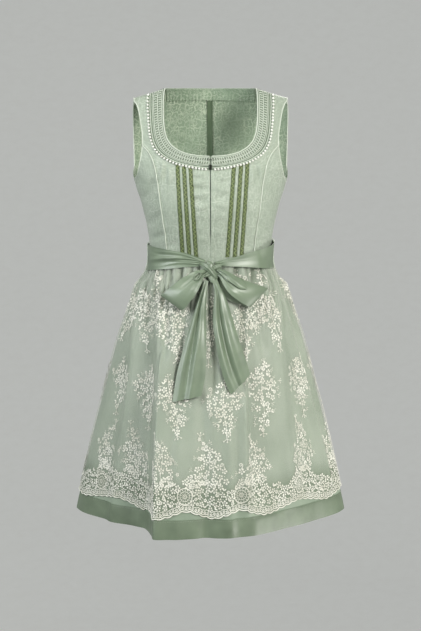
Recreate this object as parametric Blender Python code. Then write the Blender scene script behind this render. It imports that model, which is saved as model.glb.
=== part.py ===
"""A sleeveless mini dress in the dirndl style, filled out and hollow, made of cloth walls in metres.

The front faces -Y, +Z is up and +X is the right of the picture. The origin lies midway between the
points where the shoulder seams meet the neck, which is where the dress is held up. Left and right in
the names are those of the picture. Angles called turns run from 0 at the centre front through 90 at
the right side to 180 at the centre back.
"""

import math

import bmesh
import bpy
import numpy as np
from mathutils.bvhtree import BVHTree

# Driving sizes, in metres. Heights are measured from the neck points, downwards is negative.
WAIST_Z = -0.358
BODICE_BOTTOM_Z = -0.3577
HEM_Z = -0.905
BAND_TOP_Z = -0.8668  # top of the satin hem band
UNDERARM_Z = -0.196
NECK_HALF = 0.093  # half the width of the neck at the shoulder seams
SHOULDER_HALF = 0.160  # from the centre to a shoulder's tip
SHOULDER_SLOPE = 0.341
NAPE_Z = 0.003  # the back neck edge's middle stands this much above the neck points
NECK_RISE = 0.60  # how steeply the form rises from the shoulder seams to the nape
SLOPE_FADE = 0.160  # below this the shoulders' slope no longer shapes the body
ROUND = 2.3  # exponent of the body's rounded sections, 2 would be an ellipse

# Cloth
SEAM_GAP = 0.0003
BODICE_WALL = 0.0016
UNDERSKIRT_WALL = 0.0014
OVERLAY_WALL = 0.0012
OVERLAY_GAP = 0.0005
TRIM_LIFT = 0.0008  # from the bodice to what lies on it
TRIM_WALL = 0.0010
STRIP_WALL = 0.0013  # the sash's satin, in its bow and tails

# The form's half width at each height: the bodice, down to the waist seam.
HALF_WIDTH = [  # depth below the neck points, half width
    (0.000, 0.1900), (0.060, 0.1900), (0.100, 0.1865), (0.130, 0.1810), (0.149, 0.1765),
    (0.170, 0.1690), (0.183, 0.1635), (0.196, 0.1580), (0.210, 0.1545), (0.222, 0.1502),
    (0.2325, 0.1468), (0.2746, 0.1362), (0.296, 0.1322), (0.317, 0.1294), (0.338, 0.1286),
    (0.358, 0.1285), (0.380, 0.1285),
]
# How far the form stands out in front of and behind the shoulder line, by the drop below that line.
BODY_DEPTH = [  # drop, front, back
    (0.000, 0.000, 0.000), (0.004, 0.0155, 0.0170), (0.015, 0.0300, 0.0340), (0.040, 0.0500, 0.0570),
    (0.080, 0.0730, 0.0790), (0.120, 0.0950, 0.0930), (0.160, 0.1130, 0.1010), (0.200, 0.1250, 0.1030),
    (0.240, 0.1290, 0.0990), (0.290, 0.1190, 0.0880), (0.335, 0.1045, 0.0800), (0.358, 0.1000, 0.0790),
    (0.380, 0.1000, 0.0790),
]
# Cutting lines of the right front, as distance from the centre and height.
NECKLINE = [
    (0.0006, -0.1412), (0.0150, -0.1408), (0.0345, -0.1387), (0.0515, -0.1348), (0.0654, -0.1285),
    (0.0779, -0.1195), (0.0874, -0.1064), (0.0925, -0.0907), (0.0960, -0.0600), (0.0966, -0.0300),
]
PRINCESS_SEAM = [
    (0.0880, -0.3577), (0.0915, -0.3100), (0.0985, -0.2600), (0.1040, -0.2150), (0.1090, -0.1800),
    (0.1140, -0.1580), (0.1230, -0.1370), (0.1390, -0.1180),
]
ARMHOLE_FRONT = [
    (0.1390, -0.1180), (0.1395, -0.1000), (0.1430, -0.0750), (0.1500, -0.0420), (0.1555, -0.0300),
]
ARMHOLE_UNDER = [
    (0.1395, -0.1215), (0.1420, -0.1420), (0.1470, -0.1650), (0.1525, -0.1850), (0.1562, -0.1935),
    (0.1580, -0.1960),
]
ARMHOLE_BACK = [
    (0.1580, -0.1960), (0.1585, -0.1925), (0.1612, -0.1780), (0.1630, -0.1490), (0.1640, -0.1000),
    (0.1640, -0.0600), (0.1625, -0.0350),
]
SHOULDER_DROPS = (0.0150, 0.0096, 0.0054, 0.0024, 0.0006, 0.0)  # rows that round the shoulder over

# The front's embroidered neck band: its lower edge, where the pearls are sewn.
NECK_BAND_EDGE = [
    (0.0010, -0.1682), (0.0115, -0.1678), (0.0290, -0.1655), (0.0510, -0.1610), (0.0690, -0.1565),
    (0.0860, -0.1495), (0.1075, -0.1340), (0.1190, -0.1140), (0.1245, -0.0910), (0.1275, -0.0620),
    (0.1292, -0.0405),
]
NECK_BAND_ROWS = 14
BAND_RELIEF = (0.0, 0.0008, 0.0002, 0.0006, 0.0002, 0.0)  # raised braid and cord, across the band

# Ribbons on each front, from the centre outwards: distance from the centre at top and at bottom.
RIBBONS = {  # top, bottom
    "left": [(0.0404, 0.0290), (0.0536, 0.0428), (0.0667, 0.0567)],
    "right": [(0.0470, 0.0345), (0.0617, 0.0492), (0.0745, 0.0635)],
}
RIBBON_WIDTH = 0.0082
RIBBON_BOTTOM_Z = -0.3455  # under the sash
RIBBON_ROWS = 9

# Folds of the skirt, from side to side across the front and then round the back: where each fold line
# meets the hem and how far out, where it starts at the waist, how deep the lace edge hangs there, and
# the number of columns up to the next fold line.
SKIRT_FOLDS = [  # hem turn, hem radius, waist turn, lace edge, columns
    (-90.0, 0.2935, -90.0, -0.8610, 2), (-83.5, 0.2800, -85.0, -0.8655, 2),
    (-70.0, 0.2420, -76.0, -0.8560, 2), (-60.0, 0.2240, -69.0, -0.8505, 2),
    (-50.3, 0.2130, -62.0, -0.8590, 2), (-42.5, 0.2140, -56.0, -0.8655, 1),
    (-36.5, 0.2190, -53.0, -0.8600, 1), (-30.7, 0.2350, -51.0, -0.8590, 1),
    (-25.8, 0.2455, -49.0, -0.8655, 1), (-20.5, 0.2400, -45.0, -0.8620, 2),
    (-12.0, 0.2300, -28.0, -0.8500, 3), (0.8, 0.2250, 1.0, -0.8655, 3),
    (15.5, 0.2225, 31.0, -0.8500, 2), (23.5, 0.2235, 44.0, -0.8600, 1),
    (29.5, 0.2205, 52.0, -0.8655, 3), (43.0, 0.2180, 64.0, -0.8590, 3),
    (54.0, 0.2255, 73.0, -0.8505, 3), (66.0, 0.2400, 80.0, -0.8580, 2),
    (75.0, 0.2600, 85.0, -0.8655, 2), (84.0, 0.2830, 88.0, -0.8580, 2),
    (90.0, 0.2930, 90.0, -0.8520, 2), (98.0, 0.2940, 96.0, -0.8600, 3),
    (112.0, 0.2600, 106.0, -0.8655, 3), (124.0, 0.2350, 118.0, -0.8505, 2),
    (136.0, 0.2410, 130.0, -0.8655, 2), (146.0, 0.2210, 141.0, -0.8560, 2),
    (156.0, 0.2350, 152.0, -0.8505, 3), (167.0, 0.2160, 164.0, -0.8655, 3),
    (180.0, 0.2310, 179.0, -0.8505, 3), (192.0, 0.2170, 193.0, -0.8655, 3),
    (204.0, 0.2370, 206.0, -0.8505, 2), (214.0, 0.2220, 218.0, -0.8600, 2),
    (226.0, 0.2440, 231.0, -0.8655, 3), (244.0, 0.2600, 248.0, -0.8505, 2),
    (258.0, 0.2890, 262.0, -0.8655, 2), (270.0, 0.2935, 270.0, -0.8610, 0),
]
RIGHT_SIDE_FOLD = 20  # the row of the fold table at the right side seam
SKIRT_SPREAD = [  # depth below the neck points, share of the way from the waist's outline to the hem's
    (0.3580, 0.000), (0.3785, 0.012), (0.3930, 0.070), (0.4110, 0.160), (0.4370, 0.222),
    (0.4700, 0.290), (0.5200, 0.408), (0.6000, 0.540), (0.6900, 0.692), (0.7900, 0.843),
    (0.9050, 1.000),
]
HEM_CENTRE_Y = 0.020  # the hem's outline lies this far back from the waist's
GATHER_HEIGHT = 0.0056
GATHER_ROWS = [  # depth below the neck points, height of the gathers
    (0.3580, 0.0000), (0.3785, 0.0016), (0.3930, 0.0048), (0.4110, GATHER_HEIGHT), (0.4370, 0.0036),
    (0.4700, 0.0000),
]
GATHER_SHAPE = (0.0, 0.6, 1.0, 0.6)  # the columns of one gather, valley to valley
UNDERSKIRT_PLEAT = 0.0020
SKIRT_ROWS = (0.3583, 0.3785, 0.3930, 0.4110, 0.4370, 0.4700, 0.5200, 0.6000, 0.6900, 0.7900)
FINE_ROWS = 5  # rows of the lace overlay that have twice the columns, where it is gathered

# The sash round the waist. Its edges dip and close up towards the knot.
BELT_EDGES = [  # turn, top, bottom, depth of the creases
    (-354.7, -0.3548, -0.3632, 1.0), (-329.0, -0.3431, -0.3650, 0.9), (-300.0, -0.3270, -0.3710, 0.5),
    (-275.0, -0.3172, -0.3755, 0.1), (-180.0, -0.3215, -0.3770, 0.0), (-88.0, -0.3243, -0.3785, 0.1),
    (-55.0, -0.3290, -0.3730, 0.5), (-27.0, -0.3370, -0.3660, 0.9), (-6.3, -0.3509, -0.3632, 1.0),
]
BELT_LIFT = [  # depth below the neck points, distance out from the bodice and skirt
    (0.3100, 0.0024), (0.3580, 0.0027), (0.3680, 0.0040), (0.3785, 0.0065), (0.3930, 0.0188),
]
BELT_WALL = 0.0013
BELT_CREASES = (0.0, 0.0012, 0.0002, 0.0014, 0.0)  # raised folds across the sash
BELT_COLUMNS = 60
LOOP_WIDTH = 0.0035  # the thread loops at the side seams that carry the sash
LOOP_LENGTH = 0.0585
LOOP_WALL = 0.0010
BELT_LOOPS = [("belt_loop_right", 90.0, 0.3172), ("belt_loop_left", 270.0, 0.3243)]  # turn, top's depth

# The knot, and the loops and tails that come out of it.
KNOT_CENTRE = (0.0008, -0.3745)
KNOT_HALF = (0.0118, 0.0105, 0.0240)  # half width, half depth, half height
KNOT_LEAN = math.radians(12)
KNOT_AROUND = 20  # corners round each of the knot's rings
KNOT_RINGS = 9
KNOT_SEAT = 0.4  # share of the half depth that is pressed flat against the sash
# A loop's strip runs out from the knot in front, turns over at its end and runs back behind.
LOOP_LEFT = [  # way along, x, z, half the strip's width in x and in z, distance from the skirt
    (0.00, -0.0150, -0.3735, 0.0020, -0.0050, 0.0100), (0.12, -0.0270, -0.3850, 0.0095, -0.0100, 0.0165),
    (0.26, -0.0480, -0.4060, 0.0165, -0.0135, 0.0185), (0.42, -0.0710, -0.4290, 0.0208, -0.0142, 0.0150),
    (0.47, -0.0775, -0.4350, 0.0214, -0.0141, 0.0118), (0.50, -0.0800, -0.4375, 0.0215, -0.0141, 0.0080),
    (0.53, -0.0775, -0.4350, 0.0214, -0.0141, 0.0045), (0.58, -0.0710, -0.4290, 0.0208, -0.0142, 0.0026),
    (0.74, -0.0480, -0.4060, 0.0165, -0.0135, 0.0026), (0.88, -0.0280, -0.3860, 0.0095, -0.0100, 0.0026),
    (1.00, -0.0165, -0.3745, 0.0025, -0.0050, 0.0028),
]
LOOP_RIGHT = [  # way along, x, z, half the strip's width in x and in z, distance from the skirt
    (0.00, 0.0165, -0.3720, 0.0020, 0.0050, 0.0100), (0.12, 0.0300, -0.3830, 0.0085, 0.0075, 0.0175),
    (0.26, 0.0530, -0.4030, 0.0155, 0.0120, 0.0200), (0.42, 0.0880, -0.4220, 0.0185, 0.0172, 0.0160),
    (0.47, 0.0965, -0.4268, 0.0186, 0.0175, 0.0122), (0.50, 0.0990, -0.4285, 0.0185, 0.0175, 0.0080),
    (0.53, 0.0955, -0.4275, 0.0186, 0.0175, 0.0045), (0.58, 0.0855, -0.4240, 0.0188, 0.0175, 0.0026),
    (0.74, 0.0560, -0.4120, 0.0185, 0.0190, 0.0026), (0.88, 0.0330, -0.3930, 0.0110, 0.0120, 0.0026),
    (1.00, 0.0185, -0.3765, 0.0025, 0.0060, 0.0028),
]
LOOP_STEPS = 20
END_FOLLOWS = (1.0, 0.55, 0.2)  # how far a strip's first rows go along when its end is drawn to the knot
TAIL_LEFT = [  # way down, left edge x, its z, right edge x, its z, distance from the skirt, fold depth
    (0.00, -0.0130, -0.3975, -0.0040, -0.4000, 0.0050, 0.000),
    (0.06, -0.0190, -0.4090, -0.0075, -0.4120, 0.0058, 0.003),
    (0.22, -0.0330, -0.4550, -0.0095, -0.4560, 0.0070, 0.006),
    (0.46, -0.0490, -0.5070, -0.0085, -0.5120, 0.0070, 0.007),
    (0.74, -0.0690, -0.5830, -0.0095, -0.5690, 0.0062, 0.006),
    (1.00, -0.0775, -0.6340, -0.0180, -0.6200, 0.0052, 0.004),
]
TAIL_RIGHT = [  # way down, left edge x, its z, right edge x, its z, distance from the skirt, fold depth
    (0.00, 0.0035, -0.4000, 0.0130, -0.3965, 0.0050, 0.000),
    (0.06, 0.0075, -0.4120, 0.0230, -0.4080, 0.0058, 0.003),
    (0.22, 0.0050, -0.4650, 0.0400, -0.4520, 0.0070, 0.007),
    (0.46, 0.0120, -0.5240, 0.0560, -0.5050, 0.0070, 0.008),
    (0.74, 0.0270, -0.5860, 0.0700, -0.5450, 0.0062, 0.006),
    (1.00, 0.0411, -0.6190, 0.0807, -0.5814, 0.0052, 0.004),
]
TAIL_ROWS = 13
TAIL_FOLDS = (0.0, 0.55, -0.15, 1.0, 0.35, 0.0)  # how far each column of a tail stands out

# The front zip. Only its slit, its slider and its pull tab show.
ZIP_SLIT_HALF = 0.0006
ZIP_SLIT_BOTTOM_Z = -0.300
ZIP_TAPE_TOP_Z = -0.1500
ZIP_TAPE_BOTTOM_Z = -0.3450
ZIP_TAPE_HALF = 0.013
ZIP_TAPE_WALL = 0.0010
SLIDER_TOP_Z = -0.1580
SLIDER_LENGTH = 0.0075
SLIDER_WIDTH = 0.0056
SLIDER_THICK = 0.0020
BRIDGE_WIDTH = 0.0014
BRIDGE_HALF_LENGTH = 0.0026
BRIDGE_HEIGHT = 0.0030
BRIDGE_BAR = 0.0009
TAB_LENGTH = 0.0085
TAB_WIDTH = 0.0048
TAB_THICK = 0.0009
TAB_HOLE = (0.0024, 0.0036)  # width and length of the hole that the bridge passes through
TAB_BAR = 0.0009  # the bar that turns under the bridge

NECK_FACING_ROWS = 7
NECK_FACING_COLUMNS = 5  # columns of a back that lie at the neck
NECK_FACING_WALL = 0.0010

# Colours as sRGB hex, with roughness and metallic value.
FINISHES = {
    "sage_jacquard": ("#aeb9aa", 0.75, 0.0),
    "sage_jacquard_inside": ("#84967f", 0.80, 0.0),
    "braid": ("#b9c3b2", 0.70, 0.0),
    "light_piping": ("#cbd3c6", 0.60, 0.0),
    "olive_ribbon": ("#64734b", 0.55, 0.0),
    "satin": ("#93a189", 0.35, 0.0),
    "satin_dark": ("#7f8c74", 0.38, 0.0),
    "underskirt_sateen": ("#95a390", 0.60, 0.0),
    "embroidered_tulle": ("#c3c8b9", 0.80, 0.0),
    "zip_tape": ("#5d6b56", 0.80, 0.0),
    "zip_metal": ("#4d5148", 0.35, 0.8),
}


def clear_scene():
    for thing in list(bpy.data.objects):
        bpy.data.objects.remove(thing, do_unlink=True)


def linear(channel):
    return channel / 12.92 if channel <= 0.04045 else ((channel + 0.055) / 1.055) ** 2.4


def finish(name):
    """The Principled material of one entry in FINISHES."""
    if name in bpy.data.materials:
        return bpy.data.materials[name]
    colour, roughness, metallic = FINISHES[name]
    channels = [int(colour[i : i + 2], 16) / 255 for i in (1, 3, 5)]
    made = bpy.data.materials.new(name)
    made.use_nodes = True
    shader = made.node_tree.nodes["Principled BSDF"]
    shader.inputs["Base Color"].default_value = (*[linear(c) for c in channels], 1.0)
    shader.inputs["Roughness"].default_value = roughness
    shader.inputs["Metallic"].default_value = metallic
    return made


def read_table(rows, places):
    """A table's columns at the given places, on smooth curves through its rows that never overshoot."""
    rows = np.array(rows, float)
    rows = rows[np.argsort(rows[:, 0])]
    place, value = rows[:, 0], rows[:, 1:]
    slope = np.diff(value, axis=0) / np.diff(place)[:, None]
    product = slope[:-1] * slope[1:]
    total = slope[:-1] + slope[1:]
    inner = np.where(product > 0, 2 * product / np.where(product > 0, total, 1), 0)
    tangent = np.vstack([slope[:1], inner, slope[-1:]])
    places = np.atleast_1d(np.asarray(places, float))
    i = np.clip(np.searchsorted(place, places) - 1, 0, len(place) - 2)
    step = np.diff(place)[i][:, None]
    t = np.clip((places - place[i])[:, None] / step, 0, 1)
    ends = value[i] * (1 + 2 * t) * (1 - t) ** 2 + value[i + 1] * t * t * (3 - 2 * t)
    return ends + step * (tangent[i] * t * (1 - t) ** 2 - tangent[i + 1] * t * t * (1 - t))


def table_value(rows, places, column=0):
    """One column of a table at places in an array of any shape."""
    places = np.asarray(places, float)
    return read_table(rows, places.ravel())[:, column].reshape(places.shape)


def along(line, count):
    """Points spread evenly along the smooth line through the given points."""
    line = np.array(line, float)
    run = np.concatenate([[0], np.cumsum(np.linalg.norm(np.diff(line, axis=0), axis=1))])
    return read_table(np.column_stack([run, line]), np.linspace(0, run[-1], count))


def shoulder_rise(x):
    """Height of the shoulder line over the neck points, before the slope fades."""
    beyond = np.abs(x) - NECK_HALF
    return np.where(beyond > 0, -SHOULDER_SLOPE * beyond, -NECK_RISE * beyond)


def height_at_drop(x, drop):
    """Height of the point that lies this far below the shoulder line."""
    rise = shoulder_rise(x)
    return (rise - drop) / (1 - rise / SLOPE_FADE)


def drop_below_shoulder(x, z):
    return np.maximum(shoulder_rise(x) * np.clip(1 + z / SLOPE_FADE, 0, 1) - z, 0)


def body_depths(x, z):
    """Front and back depth of the form. The table is read by the drop's square root: shoulders are round."""
    rows = [(math.sqrt(drop), front, back) for drop, front, back in BODY_DEPTH]
    root = np.sqrt(drop_below_shoulder(x, z))
    return table_value(rows, root, 0), table_value(rows, root, 1)


def body_points(turns, z):
    """Points on the outside of the bodice, at turns from 0 to 180 degrees on the right side."""
    angle = np.radians(turns)
    x = table_value(HALF_WIDTH, -z) * np.abs(np.sin(angle)) ** (2 / ROUND)
    front, back = body_depths(x, z)
    facing = np.cos(angle)
    deep = np.where(facing >= 0, front, back) * np.abs(facing) ** (2 / ROUND)
    return np.stack([x, -np.sign(facing) * deep, z], axis=-1)


def turn_at(x, z, back=False):
    """The turn at which the form is x wide at height z, on the front or the back."""
    share = np.clip(x / table_value(HALF_WIDTH, -z), 0, 1)
    turns = np.degrees(np.arcsin(share ** (ROUND / 2)))
    return 180 - turns if back else turns


def outward(points):
    """Directions out of the body, from a core that is wide at the shoulders and narrow below them."""
    lower = np.clip((-0.06 - points[..., 2]) / 0.10, 0, 1)
    core = points.copy()
    core[..., 0] *= 0.9 - 0.4 * lower
    core[..., 1] = 0
    core[..., 2] = np.minimum(points[..., 2], -0.06)
    way = points - core
    return way / np.linalg.norm(way, axis=-1, keepdims=True)


def mirrored(grid):
    return grid * np.array([-1, 1, 1])


def add_object(name, bm, material, smooth=True):
    bmesh.ops.recalc_face_normals(bm, faces=bm.faces)
    mesh = bpy.data.meshes.new(name)
    bm.to_mesh(mesh)
    bm.free()
    made = bpy.data.objects.new(name, mesh)
    bpy.context.scene.collection.objects.link(made)
    mesh.materials.append(finish(material))
    if smooth:
        mesh.shade_smooth()
        mesh.set_sharp_from_angle(angle=math.radians(50))
    return made


def join_rows(bm, upper, lower, middle=0):
    """Triangles between two rows of corners. The upper row may have twice the lower one's steps.

    Left of the middle column the triangles are those of the right side, mirrored.
    """
    if len(upper) == len(lower):
        for i in range(len(upper) - 1):
            if i < middle:
                bm.faces.new((upper[i], upper[i + 1], lower[i]))
                bm.faces.new((upper[i + 1], lower[i + 1], lower[i]))
            else:
                bm.faces.new((upper[i], upper[i + 1], lower[i + 1]))
                bm.faces.new((upper[i], lower[i + 1], lower[i]))
        return
    for i in range(len(lower) - 1):
        left, half_way, right = upper[2 * i : 2 * i + 3]
        bm.faces.new((left, half_way, lower[i]))
        bm.faces.new((half_way, lower[i + 1], lower[i]))
        bm.faces.new((half_way, right, lower[i + 1]))


def rim(rows):
    """A sheet's corners in order round its edge."""
    right = [row[-1] for row in rows[1:-1]]
    left = [row[0] for row in rows[1:-1]]
    return list(rows[0]) + right + list(rows[-1])[::-1] + left[::-1]


def cloth(name, outer, inner, material, middle=0):
    """A closed wall of cloth between two sheets of points, both given row by row."""
    bm = bmesh.new()
    sheets = [[[bm.verts.new(p) for p in row] for row in sheet] for sheet in (outer, inner)]
    for sheet in sheets:
        for upper, lower in zip(sheet, sheet[1:]):
            join_rows(bm, upper, lower, middle)
    out, back = rim(sheets[0]), rim(sheets[1])
    for i in range(len(out)):
        bm.faces.new((out[i], out[i - 1], back[i - 1]))
        bm.faces.new((out[i], back[i - 1], back[i]))
    return add_object(name, bm, material)


def patch(bottom, top, left, right):
    """A grid of (turn, height) that fills the space between four edges, row by row from the bottom."""
    rise = (left[:, 1] - left[0, 1]) / (left[-1, 1] - left[0, 1])
    rise = (rise + (right[:, 1] - right[0, 1]) / (right[-1, 1] - right[0, 1])) / 2
    up = rise[:, None, None]
    across = np.linspace(0, 1, len(bottom))[None, :, None]
    corners = (1 - across) * (1 - up) * bottom[0] + across * (1 - up) * bottom[-1]
    corners = corners + (1 - across) * up * top[0] + across * up * top[-1]
    sides = (1 - across) * left[:, None] + across * right[:, None]
    return sides + (1 - up) * bottom[None] + up * top[None] - corners


def drawn_in(grid, left=True, right=True, top=True):
    """The grid with its seamed edges moved in by half the seam gap."""
    grid = grid.copy()
    edges = [(1, 0, 1, left), (1, -1, -2, right), (0, -1, -2, top)]
    for axis, edge, inside, wanted in edges:
        if not wanted:
            continue
        rows = np.moveaxis(grid, axis, 0)
        step = rows[inside] - rows[edge]
        rows[edge] += step / np.linalg.norm(step, axis=-1, keepdims=True) * SEAM_GAP * 0.6
    return grid


def turned(line, back=False):
    """A cutting line of (x, z) as (turn, z)."""
    line = np.asarray(line, float)
    return np.column_stack([turn_at(line[:, 0], line[:, 1], back), line[:, 1]])


def over_shoulder(x_from, x_to):
    """The last rows of a cutting line, which round over the shoulder at the given distances out."""
    reach = np.linspace(x_from, x_to, len(SHOULDER_DROPS))
    return np.column_stack([reach, height_at_drop(reach, np.array(SHOULDER_DROPS))])


def front_grid():
    """Right centre front: from the centre and the neckline out to the princess seam and the armhole."""
    centre = np.linspace(BODICE_BOTTOM_Z, NECKLINE[0][1], 8)
    centre = np.column_stack([np.where(centre > ZIP_SLIT_BOTTOM_Z, ZIP_SLIT_HALF, SEAM_GAP / 2), centre])
    left = np.vstack([centre, along(NECKLINE, 9)[1:], over_shoulder(0.0960, NECK_HALF)])
    right = [along(PRINCESS_SEAM, 11), along(ARMHOLE_FRONT, 6)[1:], over_shoulder(0.1580, SHOULDER_HALF)]
    right = np.vstack(right)
    left = turned(left)
    right = turned(right)
    bottom = np.linspace(left[0], right[0], 7)
    reach = np.linspace(NECK_HALF, SHOULDER_HALF, 7)
    top = turned(np.column_stack([reach, height_at_drop(reach, 0.0)]))
    grid = patch(bottom, top, left, right)
    return body_points(grid[..., 0], grid[..., 1])


def side_front_grid():
    """Right side front: from the princess seam out to the side seam and the armhole under the arm."""
    left = turned(along(PRINCESS_SEAM, 11))
    seam = np.column_stack([np.full(7, 90.0), np.linspace(BODICE_BOTTOM_Z, UNDERARM_Z, 7)])
    right = np.vstack([seam, turned(along(ARMHOLE_UNDER, 5))[::-1][1:]])
    bottom = np.linspace(left[0], right[0], 6)
    top = np.linspace(left[-1], right[-1], 6)
    grid = patch(bottom, top, left, right)
    return body_points(grid[..., 0], grid[..., 1])


def back_grid():
    """Right back: from the centre back seam out to the side seam and the armhole."""
    centre = np.linspace(BODICE_BOTTOM_Z, -0.0400, 10)
    nape = NAPE_Z - np.array(SHOULDER_DROPS) * 2.3
    left = np.concatenate([centre, nape])
    left = np.column_stack([np.full(len(left), 180.0), left])
    seam = np.column_stack([np.full(6, 90.0), np.linspace(BODICE_BOTTOM_Z, UNDERARM_Z, 6)])
    armhole = turned(along(ARMHOLE_BACK, 5), back=True)[1:]
    right = np.vstack([seam, armhole, turned(over_shoulder(0.1615, SHOULDER_HALF), back=True)])
    bottom = np.linspace(left[0], right[0], 9)
    neck = np.linspace(0, NECK_HALF, NECK_FACING_COLUMNS + 1)
    neck = np.column_stack([neck, NAPE_Z * (1 - (neck / NECK_HALF) ** 2)])
    reach = np.linspace(NECK_HALF, SHOULDER_HALF, 9 - NECK_FACING_COLUMNS)
    shoulder = np.column_stack([reach, height_at_drop(reach, 0.0)])
    top = turned(np.vstack([neck, shoulder[1:]]), back=True)
    grid = patch(bottom, top, left, right)
    return body_points(grid[..., 0], grid[..., 1])


def panel(name, grid, material="sage_jacquard"):
    cloth(name, grid, grid - outward(grid) * BODICE_WALL, material)


def build_bodice():
    front = drawn_in(front_grid(), left=False)
    side = drawn_in(side_front_grid(), top=False)
    back = drawn_in(back_grid())
    for name, grid in (("front", front), ("side_front", side), ("back", back)):
        panel(f"{name}_right", grid)
        panel(f"{name}_left", mirrored(grid))
    build_neck_facing(back)


def build_neck_facing(back):
    """The facing inside the back neck, in one piece across the centre back seam."""
    half = back[-NECK_FACING_ROWS:, : NECK_FACING_COLUMNS + 1]
    half = half.copy()
    half[:, 0, 0] = 0
    whole = np.concatenate([mirrored(half[:, :0:-1]), half], axis=1)
    way = outward(whole)
    near = BODICE_WALL + SEAM_GAP * 1.3
    outer = whole - way * near
    inner = whole - way * (near + NECK_FACING_WALL)
    cloth("back_neck_facing", outer, inner, "sage_jacquard_inside", NECK_FACING_COLUMNS)


def front_points(x, z):
    """Points on the outside of the right front, by distance from the centre and height."""
    return body_points(turn_at(x, z), z)


def on_front(name, x, z, material, relief, side):
    """A trim that lies on the front: its corners by distance and height, and what is raised on it."""
    base = front_points(x, z)
    way = outward(base)
    outer = base + way * (TRIM_LIFT + TRIM_WALL + np.asarray(relief))[..., None]
    inner = base + way * TRIM_LIFT
    if side < 0:
        outer, inner = mirrored(outer), mirrored(inner)
    cloth(name, outer, inner, material)


def build_neck_band(label, side):
    """The band of braid round the front neckline, from the zip to the shoulder seam."""
    upper = np.vstack([along(NECKLINE, NECK_BAND_ROWS), over_shoulder(0.0962, 0.0935)[:4]])
    lower = np.vstack([along(NECK_BAND_EDGE, NECK_BAND_ROWS), over_shoulder(0.1295, 0.1300)[:4]])
    upper[0, 0] = lower[0, 0] = SLIDER_WIDTH / 2 + SEAM_GAP
    share = np.linspace(0.02, 1, len(BAND_RELIEF))[None, :]
    x = upper[:, :1] * (1 - share) + lower[:, :1] * share
    z = upper[:, 1:] * (1 - share) + lower[:, 1:] * share
    relief = np.tile(BAND_RELIEF, (len(upper), 1))
    on_front(f"neck_band_{label}", x, z, "braid", relief, side)


def build_ribbons(label, side):
    """Three ribbons sewn down each centre front, between tucks, from the neck band to the sash."""
    for number, (top, bottom) in enumerate(RIBBONS[label], start=1):
        edge = table_value(NECK_BAND_EDGE, top) - 0.0015
        z = np.linspace(edge, RIBBON_BOTTOM_Z, RIBBON_ROWS)[:, None]
        middle = np.linspace(top, bottom, RIBBON_ROWS)[:, None]
        x = middle + np.array([-0.5, 0, 0.5])[None, :] * RIBBON_WIDTH
        relief = np.tile((0.0, 0.0003, 0.0), (RIBBON_ROWS, 1))
        on_front(f"ribbon_{label}_{number}", x, z + 0 * x, "olive_ribbon", relief, side)


def build_piping(label, side):
    """The fine piping that stands up from each princess seam."""
    line = along(PRINCESS_SEAM, 17)[2:]
    line[-1] = line[-1] * 0.85 + line[-2] * 0.15
    reach = np.array([-0.0011, 0.0, 0.0011])[None, :]
    x = line[:, :1] + reach
    z = line[:, 1:] + reach * 0.4
    relief = np.tile((0.0, 0.0008, 0.0), (len(line), 1))
    on_front(f"piping_{label}", x, z, "light_piping", relief, side)


def waist_radius(turns):
    """Distance from the axis to the waist seam in each direction."""
    angle = np.radians(turns)
    front, back = body_depths(0.0, WAIST_Z)
    deep = np.where(np.cos(angle) >= 0, front, back)
    width = table_value(HALF_WIDTH, -WAIST_Z)
    sum_of_shares = (np.abs(np.sin(angle)) / width) ** ROUND + (np.abs(np.cos(angle)) / deep) ** ROUND
    return sum_of_shares ** (-1 / ROUND)


def skirt_columns(half_steps=False):
    """The fold table read at every column: hem turn, hem radius, waist turn and lace edge."""
    starts = np.concatenate([[0], np.cumsum([row[4] for row in SKIRT_FOLDS])[:-1]])
    rows = [(start, *row[:4]) for start, row in zip(starts, SKIRT_FOLDS)]
    count = int(starts[-1])
    places = np.linspace(0, count, 2 * count + 1 if half_steps else count + 1)
    return read_table(rows, places), int(starts[RIGHT_SIDE_FOLD])


def skirt_points(columns, depth, lift):
    """Points on the skirt's main folds, for columns of the fold table, at a depth below the neck."""
    spread = table_value(SKIRT_SPREAD, depth)
    turns = columns[:, 2] + (columns[:, 0] - columns[:, 2]) * spread
    waist = waist_radius(turns)
    radius = waist + (columns[:, 1] - waist) * spread + lift
    angle = np.radians(turns)
    x = radius * np.sin(angle)
    y = HEM_CENTRE_Y * spread - radius * np.cos(angle)
    return np.stack([x, y, -depth + 0 * x], axis=-1)


def gathers(count, depth):
    """How far the lace's gathers stand out at each of its fine columns, no two quite alike."""
    index = np.arange(count)
    height = table_value(GATHER_ROWS, depth)
    uneven = 0.72 + 0.28 * np.sin(2.3 * (index // len(GATHER_SHAPE)))
    return height * uneven * np.array(GATHER_SHAPE)[index % len(GATHER_SHAPE)]


def split_at_sides(rows, side_column):
    """Front and back rows of the skirt, drawn apart at the side seams."""
    front, back = [], []
    for row in rows:
        cut = side_column * (2 if len(row) > 100 else 1)
        first, second = row[: cut + 1].copy(), row[cut:].copy()
        first[[0, -1], 1] -= SEAM_GAP / 2
        second[[0, -1], 1] += SEAM_GAP / 2
        front.append(first)
        back.append(second)
    return front, back


def skirt_pieces(name, outer, inner, side_column, material):
    outer_front, outer_back = split_at_sides(outer, side_column)
    inner_front, inner_back = split_at_sides(inner, side_column)
    cloth(f"{name}_front", outer_front, inner_front, material)
    cloth(f"{name}_back", outer_back, inner_back, material)


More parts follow.
